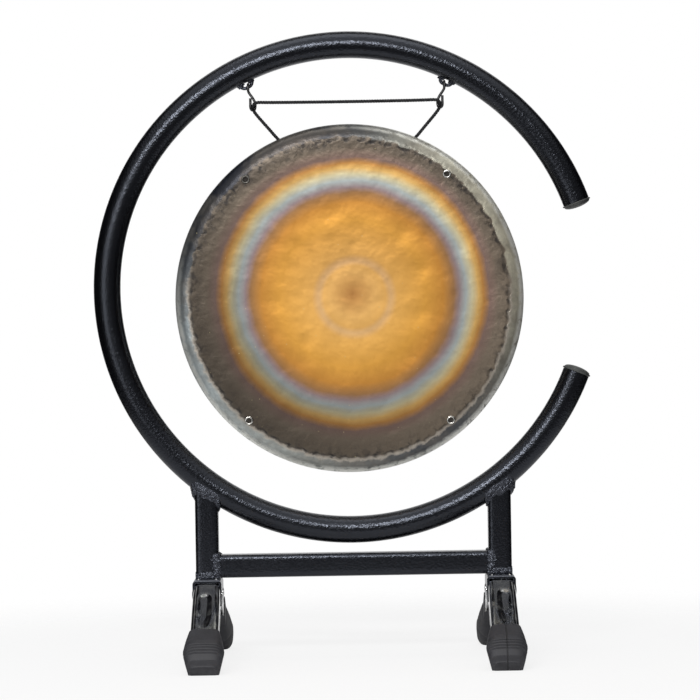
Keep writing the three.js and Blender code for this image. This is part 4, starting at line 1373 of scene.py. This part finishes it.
def add_stud(word, degrees):
    """A hollow rivet with its rolled heads, and the dark core in its bore."""
    turn = radians(degrees)
    spot = on_gong(STUD_REACH * sin(turn), 0, STUD_REACH * cos(turn))
    place = Matrix.Translation(spot) @ Matrix.Rotation(GONG_LEAN - pi / 2, 4, "X")
    face = gong_depth(STUD_REACH - STUD_HEAD / 2, 0) - 0.1 * MM
    back = gong_depth(STUD_REACH + STUD_HEAD / 2, GONG_WALL) + 0.1 * MM
    bore, head, shank = STUD_BORE / 2, STUD_HEAD / 2, STUD_SHANK / 2
    roll = (head - bore) / 2
    front_roll, back_roll = [], []
    for i in range(9):
        sweep = pi * i / 8
        swing, proud = roll * cos(sweep), sin(sweep) * MM
        front_roll.append((bore + roll - swing, face - 1.1 * proud))
        back_roll.append((bore + roll + swing, back + 1.4 * proud))
    bm = bmesh.new()
    profile = [*front_roll, (shank, face), (shank, back), *back_roll]
    lathe(bm, profile, 40, place, closed=True)
    add_piece(f"{word}_hollow_rivet", bm, "rivet_nickel", f"{word}_gong_rivet", sharp=50)
    front = face - 0.4 * MM
    wall = bore - 0.1 * MM
    core = [(0.3 * MM, front + 0.35 * MM), (1.4 * MM, front + 0.25 * MM)]
    bm = bmesh.new()
    lathe(bm, [*core, (wall, front), (wall, back + 1.2 * MM)], 32, place)
    add_piece(f"{word}_rivet_bore", bm, "rivet_core", f"{word}_gong_rivet_core")


add_gong()
for word, degrees in STUD_ANGLES.items():
    add_stud(word, degrees)

# Floor, light and surroundings

FLOOR_REACH = 3.0
FLOOR_FADE = (0.35, 0.8)
STAND_MIDDLE = (0, 0, 0.35)


def add_floor():
    """A pale floor that shows the shadow and fades into the white far off."""
    bm = bmesh.new()
    corners = ((-1, -1), (1, -1), (1, 1), (-1, 1))
    bm.faces.new([bm.verts.new((x * FLOOR_REACH, y * FLOOR_REACH, 0)) for x, y in corners])
    floor = add_object("floor", bm)
    f = Finish("pale floor", Roughness=0.7, Specular_IOR_Level=0.1)
    x, y, _ = f.split(f.place())
    fade = x.hypot(y).from_to(*FLOOR_FADE)
    grain = f.noise(3, detail=2)
    f.set(Base_Color=f.ramp(grain, [(0.3, 243, 243, 242), (0.7, 250, 250, 250)]))
    clear = f.add("ShaderNodeBsdfTransparent").outputs[0]
    white = {"Color": (1, 1, 1, 1), "Strength": 1.0}
    glow = f.add("ShaderNodeEmission", inputs=white).outputs[0]
    seen = Field(f, f.add("ShaderNodeLightPath").outputs["Is Camera Ray"])
    lit = f.blend(seen * 0.8, f.shader.outputs[0], glow)
    f.feed(f.tree.nodes["Material Output"].inputs["Surface"], f.blend(fade, lit, clear))
    floor.data.materials.append(f.material)


def add_lamp(name, place, target, size, power):
    """A soft rectangular lamp: its size is (width, height) in metres, its power in watts."""
    light = bpy.data.lights.new(name, "AREA")
    light.shape = "RECTANGLE"
    light.size, light.size_y = size
    light.energy = power
    lamp = bpy.data.objects.new(name, light)
    bpy.context.scene.collection.objects.link(lamp)
    lamp.location = place
    lamp.rotation_euler = (Vector(target) - Vector(place)).to_track_quat("-Z", "Y").to_euler()


def light_world():
    """White to the camera and behind the object; darker overhead and in front, as a studio is."""
    world = bpy.data.worlds.new("studio")
    world.use_nodes = True
    bpy.context.scene.world = world
    n = Nodes(world.node_tree)
    rays = n.add("ShaderNodeLightPath").outputs
    x, y, z = n.split(n.add("ShaderNodeTexCoord").outputs["Generated"])
    aside = (x * x).rooted()
    backdrop = y.from_to(-0.05, 0.4) * (1 - z.from_to(0.64, 0.8)) * (1 - aside.from_to(0.3, 0.5))
    ceiling = z.from_to(0.4, 0.65) * (1 - y.from_to(0.0, 0.3)) * (1 - aside.from_to(0.6, 0.85))
    front = (1 - y.from_to(-0.3, 0.1)) * (1 - aside.from_to(0.7, 0.95))
    pale = (backdrop + ceiling * 0.85 + front * 0.11).clipped()
    glossy = n.mix(pale, (0.01, 0.01, 0.012, 1), (1, 1, 1, 1))
    plain = n.mix(Field(n, rays["Is Camera Ray"]), (0.42, 0.42, 0.43, 1), (1, 1, 1, 1))
    mirrored = Field(n, rays["Is Glossy Ray"]) + Field(n, rays["Is Transmission Ray"])
    colour = n.mix(mirrored.clipped(), plain, glossy)
    n.feed(world.node_tree.nodes["Background"].inputs["Color"], colour)


add_floor()
add_lamp("soft box at the upper left", (-0.4, -2.25, 1.34), STAND_MIDDLE, (1.3, 0.26), 34)
add_lamp("soft panel at the left", (-1.3, -2.1, 0.5), STAND_MIDDLE, (1.15, 1.4), 9)
add_lamp("overhead bank", (0, -0.1, 1.9), (0, 0, 0.3), (1.4, 0.9), 5)
light_world()

bpy.context.scene.view_settings.view_transform = "Standard"
